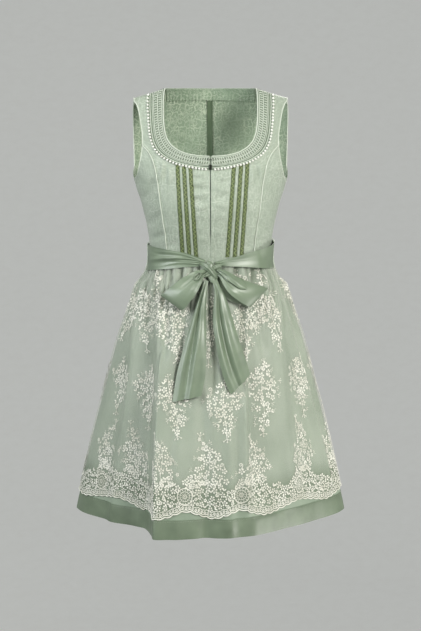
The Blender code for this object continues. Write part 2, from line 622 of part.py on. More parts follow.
def build_underskirt():
    """The sateen underskirt, softly pleated into the waist, and the satin band that faces its hem."""
    columns, side_column = skirt_columns()
    index = np.arange(len(columns))
    outer, inner = [], []
    for depth in (*SKIRT_ROWS, -BAND_TOP_Z):
        share = table_value(GATHER_ROWS, depth) / GATHER_HEIGHT
        pleat = UNDERSKIRT_PLEAT * share * np.array(GATHER_SHAPE)[(index + 2) % 4]
        outer.append(skirt_points(columns, depth, -pleat))
        inner.append(skirt_points(columns, depth, -pleat - UNDERSKIRT_WALL))
    skirt_pieces("underskirt", outer, inner, side_column, "underskirt_sateen")
    outer, inner = [], []
    for depth in (-BAND_TOP_Z + SEAM_GAP, -(BAND_TOP_Z + HEM_Z) / 2, -HEM_Z):
        outer.append(skirt_points(columns, depth, 0))
        inner.append(skirt_points(columns, depth, -UNDERSKIRT_WALL))
    skirt_pieces("hem_band", outer, inner, side_column, "satin_dark")


def build_overlay():
    """The embroidered tulle over the skirt: gathered into the waist, with a waved lower edge."""
    columns, side_column = skirt_columns()
    fine = skirt_columns(half_steps=True)[0]
    outer, inner = [], []
    for number, depth in enumerate((*SKIRT_ROWS, None)):
        some = fine if number < FINE_ROWS else columns
        at = -columns[:, 3] if depth is None else np.full(len(some), depth)
        lift = OVERLAY_GAP
        if number < FINE_ROWS:
            lift = lift + gathers(len(some), depth)
        inner.append(skirt_points(some, at, lift))
        outer.append(skirt_points(some, at, lift + OVERLAY_WALL))
    skirt_pieces("overlay", outer, inner, side_column, "embroidered_tulle")


def belt_points(turns, depth, lift):
    """Points round the waist, outside the bodice or the skirt's top."""
    angle = np.radians(turns)
    at = np.minimum(depth, -WAIST_Z)
    front, back = body_depths(np.zeros_like(at), -at)
    deep = np.where(np.cos(angle) >= 0, front, back)
    width = table_value(HALF_WIDTH, at)
    shares = (np.abs(np.sin(angle)) / width) ** ROUND + (np.abs(np.cos(angle)) / deep) ** ROUND
    radius = shares ** (-1 / ROUND) + table_value(BELT_LIFT, depth) + lift
    return np.stack([radius * np.sin(angle), -radius * np.cos(angle), -depth], axis=-1)


def build_belt():
    """The sash's stretch round the waist, from one side of the knot round the back to the other."""
    turns = np.linspace(BELT_EDGES[-1][0], BELT_EDGES[0][0], BELT_COLUMNS + 1)
    top, bottom, creased = read_table(BELT_EDGES, turns).T
    share = np.linspace(0, 1, len(BELT_CREASES))[:, None]
    depth = -(top * (1 - share) + bottom * share)
    turns = turns[None, :] + 0 * depth
    relief = np.array(BELT_CREASES)[:, None] * creased[None, :]
    cloth("belt", belt_points(turns, depth, BELT_WALL + relief), belt_points(turns, depth, 0), "satin")


def build_belt_loops():
    """A thread loop on each side seam: it stands out over the sash and is sewn down at both ends."""
    for name, turn, top in BELT_LOOPS:
        bottom = top + LOOP_LENGTH
        over = BELT_WALL + SEAM_GAP
        path = np.array([  # depth below the neck points, distance out from the sash's inner side
            (top - 0.0045, -0.0013), (top - 0.0022, over - 0.0004), (top + 0.0010, over),
            (top + 0.0200, over), (top + 0.0400, over), (bottom - 0.0012, over),
            (bottom + 0.0022, over - 0.0002), (bottom + 0.0045, -0.0004),
        ])
        half_turn = np.degrees(LOOP_WIDTH / 2 / table_value(HALF_WIDTH, -WAIST_Z))
        turns = turn + np.array([-half_turn, half_turn])[None, :] + 0 * path[:, :1]
        depth = path[:, :1] + 0 * turns
        lift = path[:, 1:] + 0 * turns
        inner = belt_points(turns, depth, lift)
        outer = belt_points(turns, depth, lift + LOOP_WALL)
        cloth(name, outer, inner, "satin")


def overlay_front_y(x, z):
    """The front of the lace overlay, over the tops of its gathers, at points given by x and z."""
    columns, side_column = skirt_columns(half_steps=True)
    front = columns[: 2 * side_column + 1]
    x, z = np.broadcast_arrays(np.asarray(x, float), np.asarray(z, float))
    found = np.empty(x.shape)
    for place in np.ndindex(x.shape):
        depth = max(-z[place], -WAIST_Z)
        lift = OVERLAY_GAP + OVERLAY_WALL + table_value(GATHER_ROWS, depth)
        row = skirt_points(front, depth, lift)
        found[place] = np.interp(x[place], row[:, 0], row[:, 1])
    return found


def strip_sides(grid):
    """Both sides of a strip of satin that runs along a grid of points."""
    down = np.gradient(grid, axis=0)
    over = np.gradient(grid, axis=1)
    normal = np.cross(over, down)
    normal /= np.linalg.norm(normal, axis=-1, keepdims=True)
    return grid + normal * STRIP_WALL / 2, grid - normal * STRIP_WALL / 2


def end_at_knot(grid, end, knot):
    """The strip with one end drawn up to the knot that it comes out of."""
    grid = grid.copy()
    follow = np.zeros(len(grid))
    follow[: len(END_FOLLOWS)] = END_FOLLOWS
    if end < 0:
        follow = follow[::-1]
    for _ in range(4):
        corners = np.concatenate([side[end] for side in strip_sides(grid)])
        found = [knot.find_nearest(corner) for corner in corners]
        corner = int(np.argmin([hit[3] for hit in found]))
        near, distance = found[corner][0], found[corner][3]
        way = (np.array(near) - corners[corner]) / distance
        grid += follow[:, None, None] * way * (distance - SEAM_GAP)
    return grid


def build_bow_loop(name, rows, knot):
    ways = np.linspace(0, 1, LOOP_STEPS + 1)
    ways = 0.5 + np.sign(ways - 0.5) * np.abs(2 * ways - 1) ** 1.5 / 2
    table = read_table(rows, ways)
    across = np.linspace(-1, 1, 5)[None, :]
    x = table[:, 0:1] + table[:, 2:3] * across
    z = table[:, 1:2] + table[:, 3:4] * across
    bulge = (1 - across**2) * 0.0025 * (table[:, 4:5] > 0.0085)
    y = overlay_front_y(x, z) - table[:, 4:5] - bulge
    grid = end_at_knot(np.stack([x, y, z], axis=-1), 0, knot)
    cloth(name, *strip_sides(end_at_knot(grid, -1, knot)), "satin")


def build_tail(name, rows, knot):
    table = read_table(rows, np.linspace(0, 1, TAIL_ROWS))
    share = np.linspace(0, 1, len(TAIL_FOLDS))[None, :]
    x = table[:, 0:1] * (1 - share) + table[:, 2:3] * share
    z = table[:, 1:2] * (1 - share) + table[:, 3:4] * share
    y = overlay_front_y(x, z) - table[:, 4:5] - table[:, 5:6] * np.array(TAIL_FOLDS)[None, :]
    grid = end_at_knot(np.stack([x, y, z], axis=-1), 0, knot)
    cloth(name, *strip_sides(grid), "satin")


def knot_back_y(z):
    """How far forward the cloth behind the knot reaches: the sash above, the overlay below."""
    overlay = overlay_front_y(KNOT_CENTRE[0], z)
    sash = belt_points(np.zeros(1), np.array([-z]), BELT_WALL + BELT_CREASES[1])[0, 1]
    return min(float(overlay), float(sash) if z > BELT_EDGES[0][2] - 0.003 else 0.0)


def build_knot():
    """The sash's knot: a wrapped lump of satin with creases round it, flat where it lies on the sash.

    Gives back its surface, for the strips that come out of it.
    """
    half_width, half_depth, half_height = KNOT_HALF
    bm = bmesh.new()
    rows = []
    for ring in range(1, KNOT_RINGS):
        polar = math.pi * ring / KNOT_RINGS
        row = []
        for step in range(KNOT_AROUND):
            angle = 2 * math.pi * step / KNOT_AROUND
            crease = 1 + 0.10 * math.sin(6 * polar + angle)
            across = half_width * math.sin(polar) * math.cos(angle) * crease
            out = half_depth * math.sin(polar) * math.sin(angle) * crease + KNOT_SEAT * half_depth
            height = half_height * math.cos(polar)
            x = KNOT_CENTRE[0] - across * math.cos(KNOT_LEAN) - height * math.sin(KNOT_LEAN)
            z = KNOT_CENTRE[1] + height * math.cos(KNOT_LEAN) - across * math.sin(KNOT_LEAN)
            y = knot_back_y(z) - 2 * SEAM_GAP - max(out, 0)
            row.append(bm.verts.new((x, y, z)))
        rows.append(row)
    for upper, lower in zip(rows, rows[1:]):
        for i in range(KNOT_AROUND):
            bm.faces.new((upper[i - 1], upper[i], lower[i], lower[i - 1]))
    bm.faces.new(rows[0])
    bm.faces.new(rows[-1])
    bmesh.ops.triangulate(bm, faces=bm.faces)
    surface = BVHTree.FromBMesh(bm)
    add_object("knot", bm, "satin")
    return surface


def build_zip_tape():
    """The closed zip's tape behind the slit, which shows as a dark line between the fronts."""
    z = np.linspace(ZIP_TAPE_TOP_Z, ZIP_TAPE_BOTTOM_Z, 8)[:, None]
    x = np.array([-1.0, -0.5, 0.0, 0.5, 1.0])[None, :] * ZIP_TAPE_HALF
    base = front_points(np.abs(x) + 0 * z, z + 0 * x)
    base[..., 0] *= np.sign(x)
    way = outward(base)
    near = BODICE_WALL + 0.0008
    outer, inner = base - way * near, base - way * (near + ZIP_TAPE_WALL)
    cloth("zip_tape", outer, inner, "zip_tape")


def zip_face_y(z):
    """How far forward the bodice is at the centre front."""
    return front_points(np.array(0.001), np.array(z))[1]


def tab_axis():
    """Height and depth of the pull tab's axis: the bar turns under the middle of the bridge."""
    z = SLIDER_TOP_Z - SLIDER_LENGTH * 0.42
    y = zip_face_y(SLIDER_TOP_Z - SLIDER_LENGTH) - TRIM_LIFT - SLIDER_THICK - BRIDGE_BAR * 1.35
    return y, z


def build_slider():
    """The zip's slider: a plate on the closed teeth with a bridge that holds the pull tab."""
    axis_y, axis_z = tab_axis()
    face = axis_y + BRIDGE_BAR * 1.35
    bm = bmesh.new()
    half = SLIDER_WIDTH / 2
    outline = [  # distance from the centre, height
        (-half, SLIDER_TOP_Z - 0.0010), (-half + 0.0010, SLIDER_TOP_Z), (half - 0.0010, SLIDER_TOP_Z),
        (half, SLIDER_TOP_Z - 0.0010), (half * 0.8, SLIDER_TOP_Z - SLIDER_LENGTH * 0.7),
        (half * 0.45, SLIDER_TOP_Z - SLIDER_LENGTH), (-half * 0.45, SLIDER_TOP_Z - SLIDER_LENGTH),
        (-half * 0.8, SLIDER_TOP_Z - SLIDER_LENGTH * 0.7),
    ]
    near = [bm.verts.new((x, face, z)) for x, z in outline]
    far = [bm.verts.new((x, face + SLIDER_THICK, z)) for x, z in outline]
    bm.faces.new(near)
    bm.faces.new(far)
    for i in range(len(outline)):
        bm.faces.new((near[i - 1], near[i], far[i], far[i - 1]))
    slider = add_object("zip_slider", bm, "zip_metal", smooth=False)
    bm = bmesh.new()
    low, high = BRIDGE_HALF_LENGTH - BRIDGE_BAR, BRIDGE_HALF_LENGTH
    profile = [  # distance along the slide, distance out from the plate
        (-high, -0.0006), (-high, BRIDGE_HEIGHT * 0.7), (-high * 0.6, BRIDGE_HEIGHT),
        (high * 0.6, BRIDGE_HEIGHT), (high, BRIDGE_HEIGHT * 0.7), (high, -0.0006), (low, -0.0006),
        (low, BRIDGE_HEIGHT * 0.6), (low * 0.6, BRIDGE_HEIGHT - BRIDGE_BAR),
        (-low * 0.6, BRIDGE_HEIGHT - BRIDGE_BAR), (-low, BRIDGE_HEIGHT * 0.6), (-low, -0.0006),
    ]
    sides = []
    for x in (-BRIDGE_WIDTH / 2, BRIDGE_WIDTH / 2):
        sides.append([bm.verts.new((x, face - out, axis_z + up)) for up, out in profile])
    for i in range(len(profile)):
        bm.faces.new((sides[0][i - 1], sides[0][i], sides[1][i], sides[1][i - 1]))
    for side in sides:
        bm.faces.new(side)
    bridge = add_object("bridge_cutter", bm, "zip_metal", smooth=False)
    bridge.hide_render = True
    bridge.display_type = "WIRE"
    union = slider.modifiers.new("bridge", "BOOLEAN")
    union.operation = "UNION"
    union.object = bridge


def ring_points(half_width, top, bottom, corner):
    """A rectangle with rounded corners as 16 points, in x and z."""
    points = []
    for side_x, side_z, start in ((1, top - corner, 0), (-1, top - corner, 90),
                                  (-1, bottom + corner, 180), (1, bottom + corner, 270)):
        for angle in np.radians(start + np.array([0, 30, 60, 90])):
            x = side_x * (half_width - corner) + corner * math.cos(angle)
            points.append((x, side_z + corner * math.sin(angle)))
    return points


def build_tab():
    """The pull tab: a small plate whose hole goes round the bridge, hanging from its bar."""
    axis_y, axis_z = tab_axis()
    hole_width, hole_length = TAB_HOLE
    outer = ring_points(TAB_WIDTH / 2, TAB_BAR / 2, TAB_BAR / 2 - TAB_LENGTH, 0.0012)
    inner = ring_points(hole_width / 2, -TAB_BAR / 2, -TAB_BAR / 2 - hole_length, 0.0004)
    bm = bmesh.new()
    loops = []
    for line in (outer, inner):
        for y in (-TAB_THICK / 2, TAB_THICK / 2):
            loops.append([bm.verts.new((x, y, z)) for x, z in line])
    for first, second in ((0, 1), (2, 3), (0, 2), (1, 3)):
        for i in range(len(outer)):
            bm.faces.new((loops[first][i - 1], loops[first][i], loops[second][i], loops[second][i - 1]))
    tab = add_object("zip_tab", bm, "zip_metal", smooth=False)
    tab.location = (0, axis_y, axis_z)


def main():
    clear_scene()
    build_bodice()
    for label, side in (("left", -1), ("right", 1)):
        build_neck_band(label, side)
        build_ribbons(label, side)
        build_piping(label, side)
    build_underskirt()
    build_overlay()
    build_belt()
    build_belt_loops()
    knot = build_knot()
    build_bow_loop("bow_loop_left", LOOP_LEFT, knot)
    build_bow_loop("bow_loop_right", LOOP_RIGHT, knot)
    build_tail("tail_left", TAIL_LEFT, knot)
    build_tail("tail_right", TAIL_RIGHT, knot)
    build_zip_tape()
    build_slider()
    build_tab()


main()
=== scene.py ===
import math

import bpy
import numpy as np
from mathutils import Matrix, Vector


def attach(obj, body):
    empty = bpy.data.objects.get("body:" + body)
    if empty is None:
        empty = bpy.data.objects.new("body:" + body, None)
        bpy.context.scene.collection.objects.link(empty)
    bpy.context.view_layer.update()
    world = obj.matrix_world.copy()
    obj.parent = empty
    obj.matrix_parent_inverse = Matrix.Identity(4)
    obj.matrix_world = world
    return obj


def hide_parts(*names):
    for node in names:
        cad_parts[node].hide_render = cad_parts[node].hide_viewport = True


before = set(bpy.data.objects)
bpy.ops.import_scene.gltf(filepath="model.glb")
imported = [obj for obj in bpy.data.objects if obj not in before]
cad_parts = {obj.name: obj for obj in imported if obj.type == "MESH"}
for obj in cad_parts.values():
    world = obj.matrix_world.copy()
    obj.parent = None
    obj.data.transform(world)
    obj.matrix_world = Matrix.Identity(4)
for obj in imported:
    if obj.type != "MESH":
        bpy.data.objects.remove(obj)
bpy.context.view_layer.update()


# Camera, light and ground.
# A pale grey studio floor that curves up into a wall all round, far from the dress, so that every side
# has the same plain ground; a large soft lamp to the right and in front, and a weaker one on the left.
def linear(code):
    """An sRGB hex colour as linear red, green, blue and alpha."""
    parts = [int(code[i : i + 2], 16) / 255 for i in (1, 3, 5)]
    return (*[c / 12.92 if c <= 0.04045 else ((c + 0.055) / 1.055) ** 2.4 for c in parts], 1.0)


def output(value):
    """A node's first output. Anything else stays as it is."""
    return value.outputs[0] if isinstance(value, bpy.types.Node) else value


def add(tree, kind, sockets=None, stops=None, **settings):
    """A node in a material, with its settings, and its sockets set to values or linked to other nodes."""
    made = tree.nodes.new("ShaderNode" + kind)
    for name, value in settings.items():
        setattr(made, name, value)
    for key, value in (sockets or {}).items():
        value = output(value)
        if isinstance(value, bpy.types.NodeSocket):
            tree.links.new(value, made.inputs[key])
        else:
            made.inputs[key].default_value = value
    if stops:
        ramp = made.color_ramp
        while len(ramp.elements) < len(stops):
            ramp.elements.new(1.0)
        for element, (place, shade) in zip(ramp.elements, stops):
            element.position = place
            element.color = linear(shade)
    return made


def finish(tree, shader, colour, height=None, depth=0.0, strength=0.0):
    """Joins a colour to the shader, and a relief that is so many metres deep."""
    tree.links.new(output(colour), shader.inputs["Base Color"])
    if height is not None:
        bump = add(tree, "Bump", {"Height": height, "Distance": depth, "Strength": strength})
        tree.links.new(output(bump), shader.inputs["Normal"])


def surface(name, **values):
    """A new material's node tree and its Principled shader, with uniform values set on its sockets."""
    made = bpy.data.materials.new(name)
    made.use_nodes = True
    shader = made.node_tree.nodes["Principled BSDF"]
    for key, value in values.items():
        shader.inputs[key.replace("_", " ")].default_value = value
    return made, made.node_tree, shader


def soft_lamp(name, place, target, size, power, shade):
    """A square lamp of the given size in metres and power in watts, turned to the target."""
    data = bpy.data.lights.new(name, "AREA")
    data.size = size
    data.energy = power
    data.color = linear(shade)[:3]
    lamp = bpy.data.objects.new(name, data)
    lamp.location = place
    lamp.rotation_euler = (Vector(target) - Vector(place)).to_track_quat("-Z", "Y").to_euler()
    bpy.context.scene.collection.objects.link(lamp)


PHOTO_FOCAL, PHOTO_HEIGHT = 1228.1, 631  # pixels
SENSOR = 36  # mm
CAMERA_PITCH = 7.19  # degrees down
camera_data = bpy.data.cameras.new("photo_camera")
camera_data.lens = PHOTO_FOCAL / PHOTO_HEIGHT * SENSOR
camera = bpy.data.objects.new("photo_camera", camera_data)
camera.location = (0.0, -2.6, -0.15)
camera.rotation_euler = (math.radians(90 - CAMERA_PITCH), 0.0, 0.0)
bpy.context.scene.collection.objects.link(camera)
bpy.context.scene.camera = camera

soft_lamp("key_lamp", (1.55, -2.15, 0.6), (0.0, 0.0, -0.45), 0.8, 55.0, "#fffdf8")
soft_lamp("side_lamp", (1.95, -0.65, -1.55), (0.1, 0.0, -0.95), 1.2, 20.0, "#fffdf8")
soft_lamp("fill_lamp", (-2.6, -1.4, 0.45), (0.0, 0.0, -0.4), 1.4, 50.0, "#f8fcff")
soft_lamp("neck_lamp", (-0.85, -1.3, 1.6), (0.0, 0.0, -0.1), 0.6, 16.0, "#fffdf8")
soft_lamp("back_lamp", (0.8, 2.6, 1.4), (0.0, 0.0, -0.4), 1.2, 56.0, "#fffdf8")
world = bpy.data.worlds.new("studio")
world.use_nodes = True
world.node_tree.nodes["Background"].inputs["Color"].default_value = linear("#f2f4f2")
world.node_tree.nodes["Background"].inputs["Strength"].default_value = 0.26
bpy.context.scene.world = world
bpy.context.scene.view_settings.view_transform = "Standard"

paper, tree, shader = surface("seamless_grey_paper", Roughness=0.9)
shader.inputs["Emission Color"].default_value = linear("#f2f4f2")
shader.inputs["Emission Strength"].default_value = 0.2  # the wash of the background lamps
grain = add(tree, "TexNoise", {"Scale": 220.0, "Detail": 4.0})
tone = add(tree, "ValToRGB", {"Fac": grain}, stops=[(0.3, "#e6e7e4"), (0.7, "#eaece9")])
finish(tree, shader, tone, grain, 0.0001, 0.2)
FLOOR_Z = -3.2
COVE_START, COVE_RADIUS, WALL_HEIGHT = 5.0, 2.0, 9.0
profile = [(0.02, 0.0), (2.0, 0.0), (COVE_START, 0.0)]  # distance out, height over the floor
for a in np.radians(range(6, 91, 6)):
    profile.append((COVE_START + COVE_RADIUS * math.sin(a), COVE_RADIUS - COVE_RADIUS * math.cos(a)))
profile.append((COVE_START + COVE_RADIUS, WALL_HEIGHT))
around = 96
cove = bpy.data.meshes.new("cove")
cove.from_pydata(
    [
        (r * math.sin(2 * math.pi * k / around), r * math.cos(2 * math.pi * k / around), h + FLOOR_Z)
        for r, h in profile for k in range(around)
    ],
    [],
    [
        (
            i * around + k, i * around + (k + 1) % around, (i + 1) * around + (k + 1) % around,
            (i + 1) * around + k,
        )
        for i in range(len(profile) - 1) for k in range(around)
    ] + [tuple(range(around))],
)
cove.shade_smooth()
cove.materials.append(paper)
backdrop = bpy.data.objects.new("cove", cove)
backdrop.visible_shadow = False  # the daylight of the room comes through the wall
backdrop.visible_diffuse = False
backdrop.visible_glossy = False
bpy.context.scene.collection.objects.link(backdrop)


# Form of the bodice.
# The filled-out body that the cloth lies on, from the same sizes as the solids: half widths, depths in
# front and behind, and the cutting lines, read on a finer net so that the cloth is round.
WAIST_Z = -0.358
BODICE_BOTTOM_Z = -0.3577
HEM_Z = -0.905
SKIRT_TOP = 0.3584  # depth below the neck points, just under the waist seam
BAND_TOP_Z = -0.8668  # top of the satin hem band
UNDERARM_Z = -0.196
NECK_HALF = 0.093  # half the width of the neck at the shoulder seams
SHOULDER_HALF = 0.16  # from the centre to a shoulder's tip
SHOULDER_SLOPE = 0.341
NAPE_Z = 0.003  # the back neck edge's middle stands this much above the neck points
NECK_RISE = 0.6  # how steeply the form rises from the shoulder seams to the nape
SLOPE_FADE = 0.16  # below this the shoulders' slope no longer shapes the body
ROUND = 2.3  # exponent of the body's rounded sections, 2 would be an ellipse
SEAM_GAP = 0.0003


def lengths(rows, plain=0):
    """A table in metres from one in millimetres, but for so many first columns."""
    rows = np.array(rows, float)
    rows[:, plain:] /= 1000
    return rows


HALF_WIDTH = lengths([  # depth below the neck points, half width
    (0, 190), (60, 190), (100, 186.5), (130, 181), (149, 176.5), (170, 169), (183, 163.5), (196, 158),
    (210, 154.5), (222, 150.2), (232.5, 146.8), (274.6, 136.2), (296, 132.2), (317, 129.4), (338, 128.6),
    (358, 128.5), (380, 128.5),
])
BODY_DEPTH = lengths([  # drop, front, back
    (0, 0, 0), (4, 15.5, 17), (15, 30, 34), (40, 50, 57), (80, 73, 79), (120, 95, 93), (160, 113, 101),
    (200, 125, 103), (240, 129, 99), (290, 119, 88), (335, 104.5, 80), (358, 100, 79), (380, 100, 79),
])
NECKLINE = lengths([
    (0.6, -141.2), (15, -140.8), (34.5, -138.7), (51.5, -134.8), (65.4, -128.5), (77.9, -119.5),
    (87.4, -106.4), (92.5, -90.7), (96, -60), (96.6, -30),
])
PRINCESS_SEAM = lengths([
    (88, -357.7), (91.5, -310), (98.5, -260), (104, -215), (109, -180), (114, -158), (123, -137),
    (139, -118),
])
ARMHOLE_FRONT = lengths([
    (139, -118), (139.5, -100), (143, -75), (150, -42), (155.5, -30),
])
ARMHOLE_UNDER = lengths([
    (139.5, -121.5), (142, -142), (147, -165), (152.5, -185), (156.2, -193.5), (158, -196),
])
ARMHOLE_BACK = lengths([
    (158, -196), (158.5, -192.5), (161.2, -178), (163, -149), (164, -100), (164, -60), (162.5, -35),
])
SHOULDER_DROPS = (0.015, 0.0096, 0.0054, 0.0024, 0.0006, 0.0)  # rows that round the shoulder over
NECK_BAND_EDGE = lengths([
    (1, -168.2), (11.5, -167.8), (29, -165.5), (51, -161), (69, -156.5), (86, -149.5), (107.5, -134),
    (119, -114), (124.5, -91), (127.5, -62), (129.2, -40.5),
])
RIBBONS = {  # top, bottom
    "left": [(0.0404, 0.029), (0.0536, 0.0428), (0.0667, 0.0567)],
    "right": [(0.047, 0.0345), (0.0617, 0.0492), (0.0745, 0.0635)],
}
RIBBON_BOTTOM_Z = -0.3455  # under the sash
NECK_FACING_COLUMNS = 5  # columns of a back that lie at the neck
ZIP_SLIT_HALF = 0.0006
ZIP_SLIT_BOTTOM_Z = -0.3


def read_table(rows, places):
    """A table's columns at the given places, on smooth curves through its rows that never overshoot."""
    rows = np.array(rows, float)
    rows = rows[np.argsort(rows[:, 0])]
    place, value = rows[:, 0], rows[:, 1:]
    slope = np.diff(value, axis=0) / np.diff(place)[:, None]
    product = slope[:-1] * slope[1:]
    total = slope[:-1] + slope[1:]
    inner = np.where(product > 0, 2 * product / np.where(product > 0, total, 1), 0)
    tangent = np.vstack([slope[:1], inner, slope[-1:]])
    places = np.atleast_1d(np.asarray(places, float))
    i = np.clip(np.searchsorted(place, places) - 1, 0, len(place) - 2)
    step = np.diff(place)[i][:, None]
    t = np.clip((places - place[i])[:, None] / step, 0, 1)
    ends = value[i] * (1 + 2 * t) * (1 - t) ** 2 + value[i + 1] * t * t * (3 - 2 * t)
    return ends + step * (tangent[i] * t * (1 - t) ** 2 - tangent[i + 1] * t * t * (1 - t))


def table_value(rows, places, column=0):
    """One column of a table at places in an array of any shape."""
    places = np.asarray(places, float)
    return read_table(rows, places.ravel())[:, column].reshape(places.shape)


def along(line, count):
    """Points spread evenly along the smooth line through the given points."""
    line = np.array(line, float)
    run = np.concatenate([[0], np.cumsum(np.linalg.norm(np.diff(line, axis=0), axis=1))])
    return read_table(np.column_stack([run, line]), np.linspace(0, run[-1], count))


def shoulder_rise(x):
    """Height of the shoulder line over the neck points, before the slope fades."""
    beyond = np.abs(x) - NECK_HALF
    return np.where(beyond > 0, -SHOULDER_SLOPE * beyond, -NECK_RISE * beyond)


def height_at_drop(x, drop):
    """Height of the point that lies this far below the shoulder line."""
    rise = shoulder_rise(x)
    return (rise - drop) / (1 - rise / SLOPE_FADE)


def drop_below_shoulder(x, z):
    return np.maximum(shoulder_rise(x) * np.clip(1 + z / SLOPE_FADE, 0, 1) - z, 0)


def body_depths(x, z):
    """Front and back depth of the form. The table is read by the drop's square root: shoulders are round."""
    rows = [(math.sqrt(drop), front, back) for drop, front, back in BODY_DEPTH]
    root = np.sqrt(drop_below_shoulder(x, z))
    return table_value(rows, root, 0), table_value(rows, root, 1)


def body_points(turns, z):
    """Points on the outside of the bodice, at turns from 0 to 180 degrees on the right side."""
    angle = np.radians(turns)
    x = table_value(HALF_WIDTH, -z) * np.abs(np.sin(angle)) ** (2 / ROUND)
    front, back = body_depths(x, z)
    facing = np.cos(angle)
    deep = np.where(facing >= 0, front, back) * np.abs(facing) ** (2 / ROUND)
    return np.stack([x, -np.sign(facing) * deep, z], axis=-1)


def turn_at(x, z, back=False):
    """The turn at which the form is x wide at height z, on the front or the back."""
    share = np.clip(x / table_value(HALF_WIDTH, -z), 0, 1)
    turns = np.degrees(np.arcsin(share ** (ROUND / 2)))
    return 180 - turns if back else turns


def outward(points):
    """Directions out of the body, from a core that is wide at the shoulders and narrow below them."""
    lower = np.clip((-0.06 - points[..., 2]) / 0.1, 0, 1)
    core = points.copy()
    core[..., 0] *= 0.9 - 0.4 * lower
    core[..., 1] = 0
    core[..., 2] = np.minimum(points[..., 2], -0.06)
    way = points - core
    return way / np.linalg.norm(way, axis=-1, keepdims=True)


def patch(bottom, top, left, right):
    """A grid of (turn, height) that fills the space between four edges, row by row from the bottom."""
    rise = (left[:, 1] - left[0, 1]) / (left[-1, 1] - left[0, 1])
    rise = (rise + (right[:, 1] - right[0, 1]) / (right[-1, 1] - right[0, 1])) / 2
    up = rise[:, None, None]
    across = np.linspace(0, 1, len(bottom))[None, :, None]
    corners = (1 - across) * (1 - up) * bottom[0] + across * (1 - up) * bottom[-1]
    corners = corners + (1 - across) * up * top[0] + across * up * top[-1]
    sides = (1 - across) * left[:, None] + across * right[:, None]
    return sides + (1 - up) * bottom[None] + up * top[None] - corners


def turned(line, back=False):
    """A cutting line of (x, z) as (turn, z)."""
    line = np.asarray(line, float)
    return np.column_stack([turn_at(line[:, 0], line[:, 1], back), line[:, 1]])


def over_shoulder(x_from, x_to):
    """The last rows of a cutting line, which round over the shoulder at the given distances out."""
    reach = np.linspace(x_from, x_to, len(SHOULDER_DROPS))
    return np.column_stack([reach, height_at_drop(reach, np.array(SHOULDER_DROPS))])


def front_grid():
    """Right centre front: from the centre and the neckline out to the princess seam and the armhole."""
    centre = np.linspace(BODICE_BOTTOM_Z, NECKLINE[0][1], 8)
    centre = np.column_stack([np.where(centre > ZIP_SLIT_BOTTOM_Z, ZIP_SLIT_HALF, SEAM_GAP / 2), centre])
    left = np.vstack([centre, along(NECKLINE, 9)[1:], over_shoulder(0.096, NECK_HALF)])
    right = [along(PRINCESS_SEAM, 11), along(ARMHOLE_FRONT, 6)[1:], over_shoulder(0.158, SHOULDER_HALF)]
    right = np.vstack(right)
    left = turned(left)
    right = turned(right)
    bottom = np.linspace(left[0], right[0], 7)
    reach = np.linspace(NECK_HALF, SHOULDER_HALF, 7)
    top = turned(np.column_stack([reach, height_at_drop(reach, 0.0)]))
    return patch(bottom, top, left, right)


def side_front_grid():
    """Right side front: from the princess seam out to the side seam and the armhole under the arm."""
    left = turned(along(PRINCESS_SEAM, 11))
    seam = np.column_stack([np.full(7, 90.0), np.linspace(BODICE_BOTTOM_Z, UNDERARM_Z, 7)])
    right = np.vstack([seam, turned(along(ARMHOLE_UNDER, 5))[::-1][1:]])
    bottom = np.linspace(left[0], right[0], 6)
    top = np.linspace(left[-1], right[-1], 6)
    return patch(bottom, top, left, right)


def back_grid():
    """Right back: from the centre back seam out to the side seam and the armhole."""
    centre = np.linspace(BODICE_BOTTOM_Z, -0.04, 10)
    nape = NAPE_Z - np.array(SHOULDER_DROPS) * 2.3
    left = np.concatenate([centre, nape])
    left = np.column_stack([np.full(len(left), 180.0), left])
    seam = np.column_stack([np.full(6, 90.0), np.linspace(BODICE_BOTTOM_Z, UNDERARM_Z, 6)])
    armhole = turned(along(ARMHOLE_BACK, 5), back=True)[1:]
    right = np.vstack([seam, armhole, turned(over_shoulder(0.1615, SHOULDER_HALF), back=True)])
    bottom = np.linspace(left[0], right[0], 9)
    neck = np.linspace(0, NECK_HALF, NECK_FACING_COLUMNS + 1)
    neck = np.column_stack([neck, NAPE_Z * (1 - (neck / NECK_HALF) ** 2)])
    reach = np.linspace(NECK_HALF, SHOULDER_HALF, 9 - NECK_FACING_COLUMNS)
    shoulder = np.column_stack([reach, height_at_drop(reach, 0.0)])
    top = turned(np.vstack([neck, shoulder[1:]]), back=True)
    return patch(bottom, top, left, right)


def finer(grid, rows, columns):
    """The same net of points with more rows and columns, on smooth curves."""
    for axis, count in ((0, rows), (1, columns)):
        lines = np.moveaxis(grid, axis, 0)
        table = np.column_stack([np.arange(len(lines)), lines.reshape(len(lines), -1)])
        read = read_table(table, np.linspace(0, len(lines) - 1, count))
        grid = np.moveaxis(read.reshape(count, *lines.shape[1:]), 0, axis)
    return grid


def hand_creases(table, x, z):
    """Soft folds given one by one: how far the cloth stands out at x and z."""
    height = np.zeros_like(x)
    for lean, at_x, at_z, length, width, rise in table:
        angle = math.radians(lean)
        along_fold = (x - at_x) * math.cos(angle) + (z - at_z) * math.sin(angle)
        across_fold = (z - at_z) * math.cos(angle) - (x - at_x) * math.sin(angle)
        across_fold = across_fold - 0.12 * along_fold**2 / max(length, 0.001)
        height += rise * np.exp(-((across_fold / (1.35 * width)) ** 2) - (along_fold / length) ** 4)
    return 2.8 * height


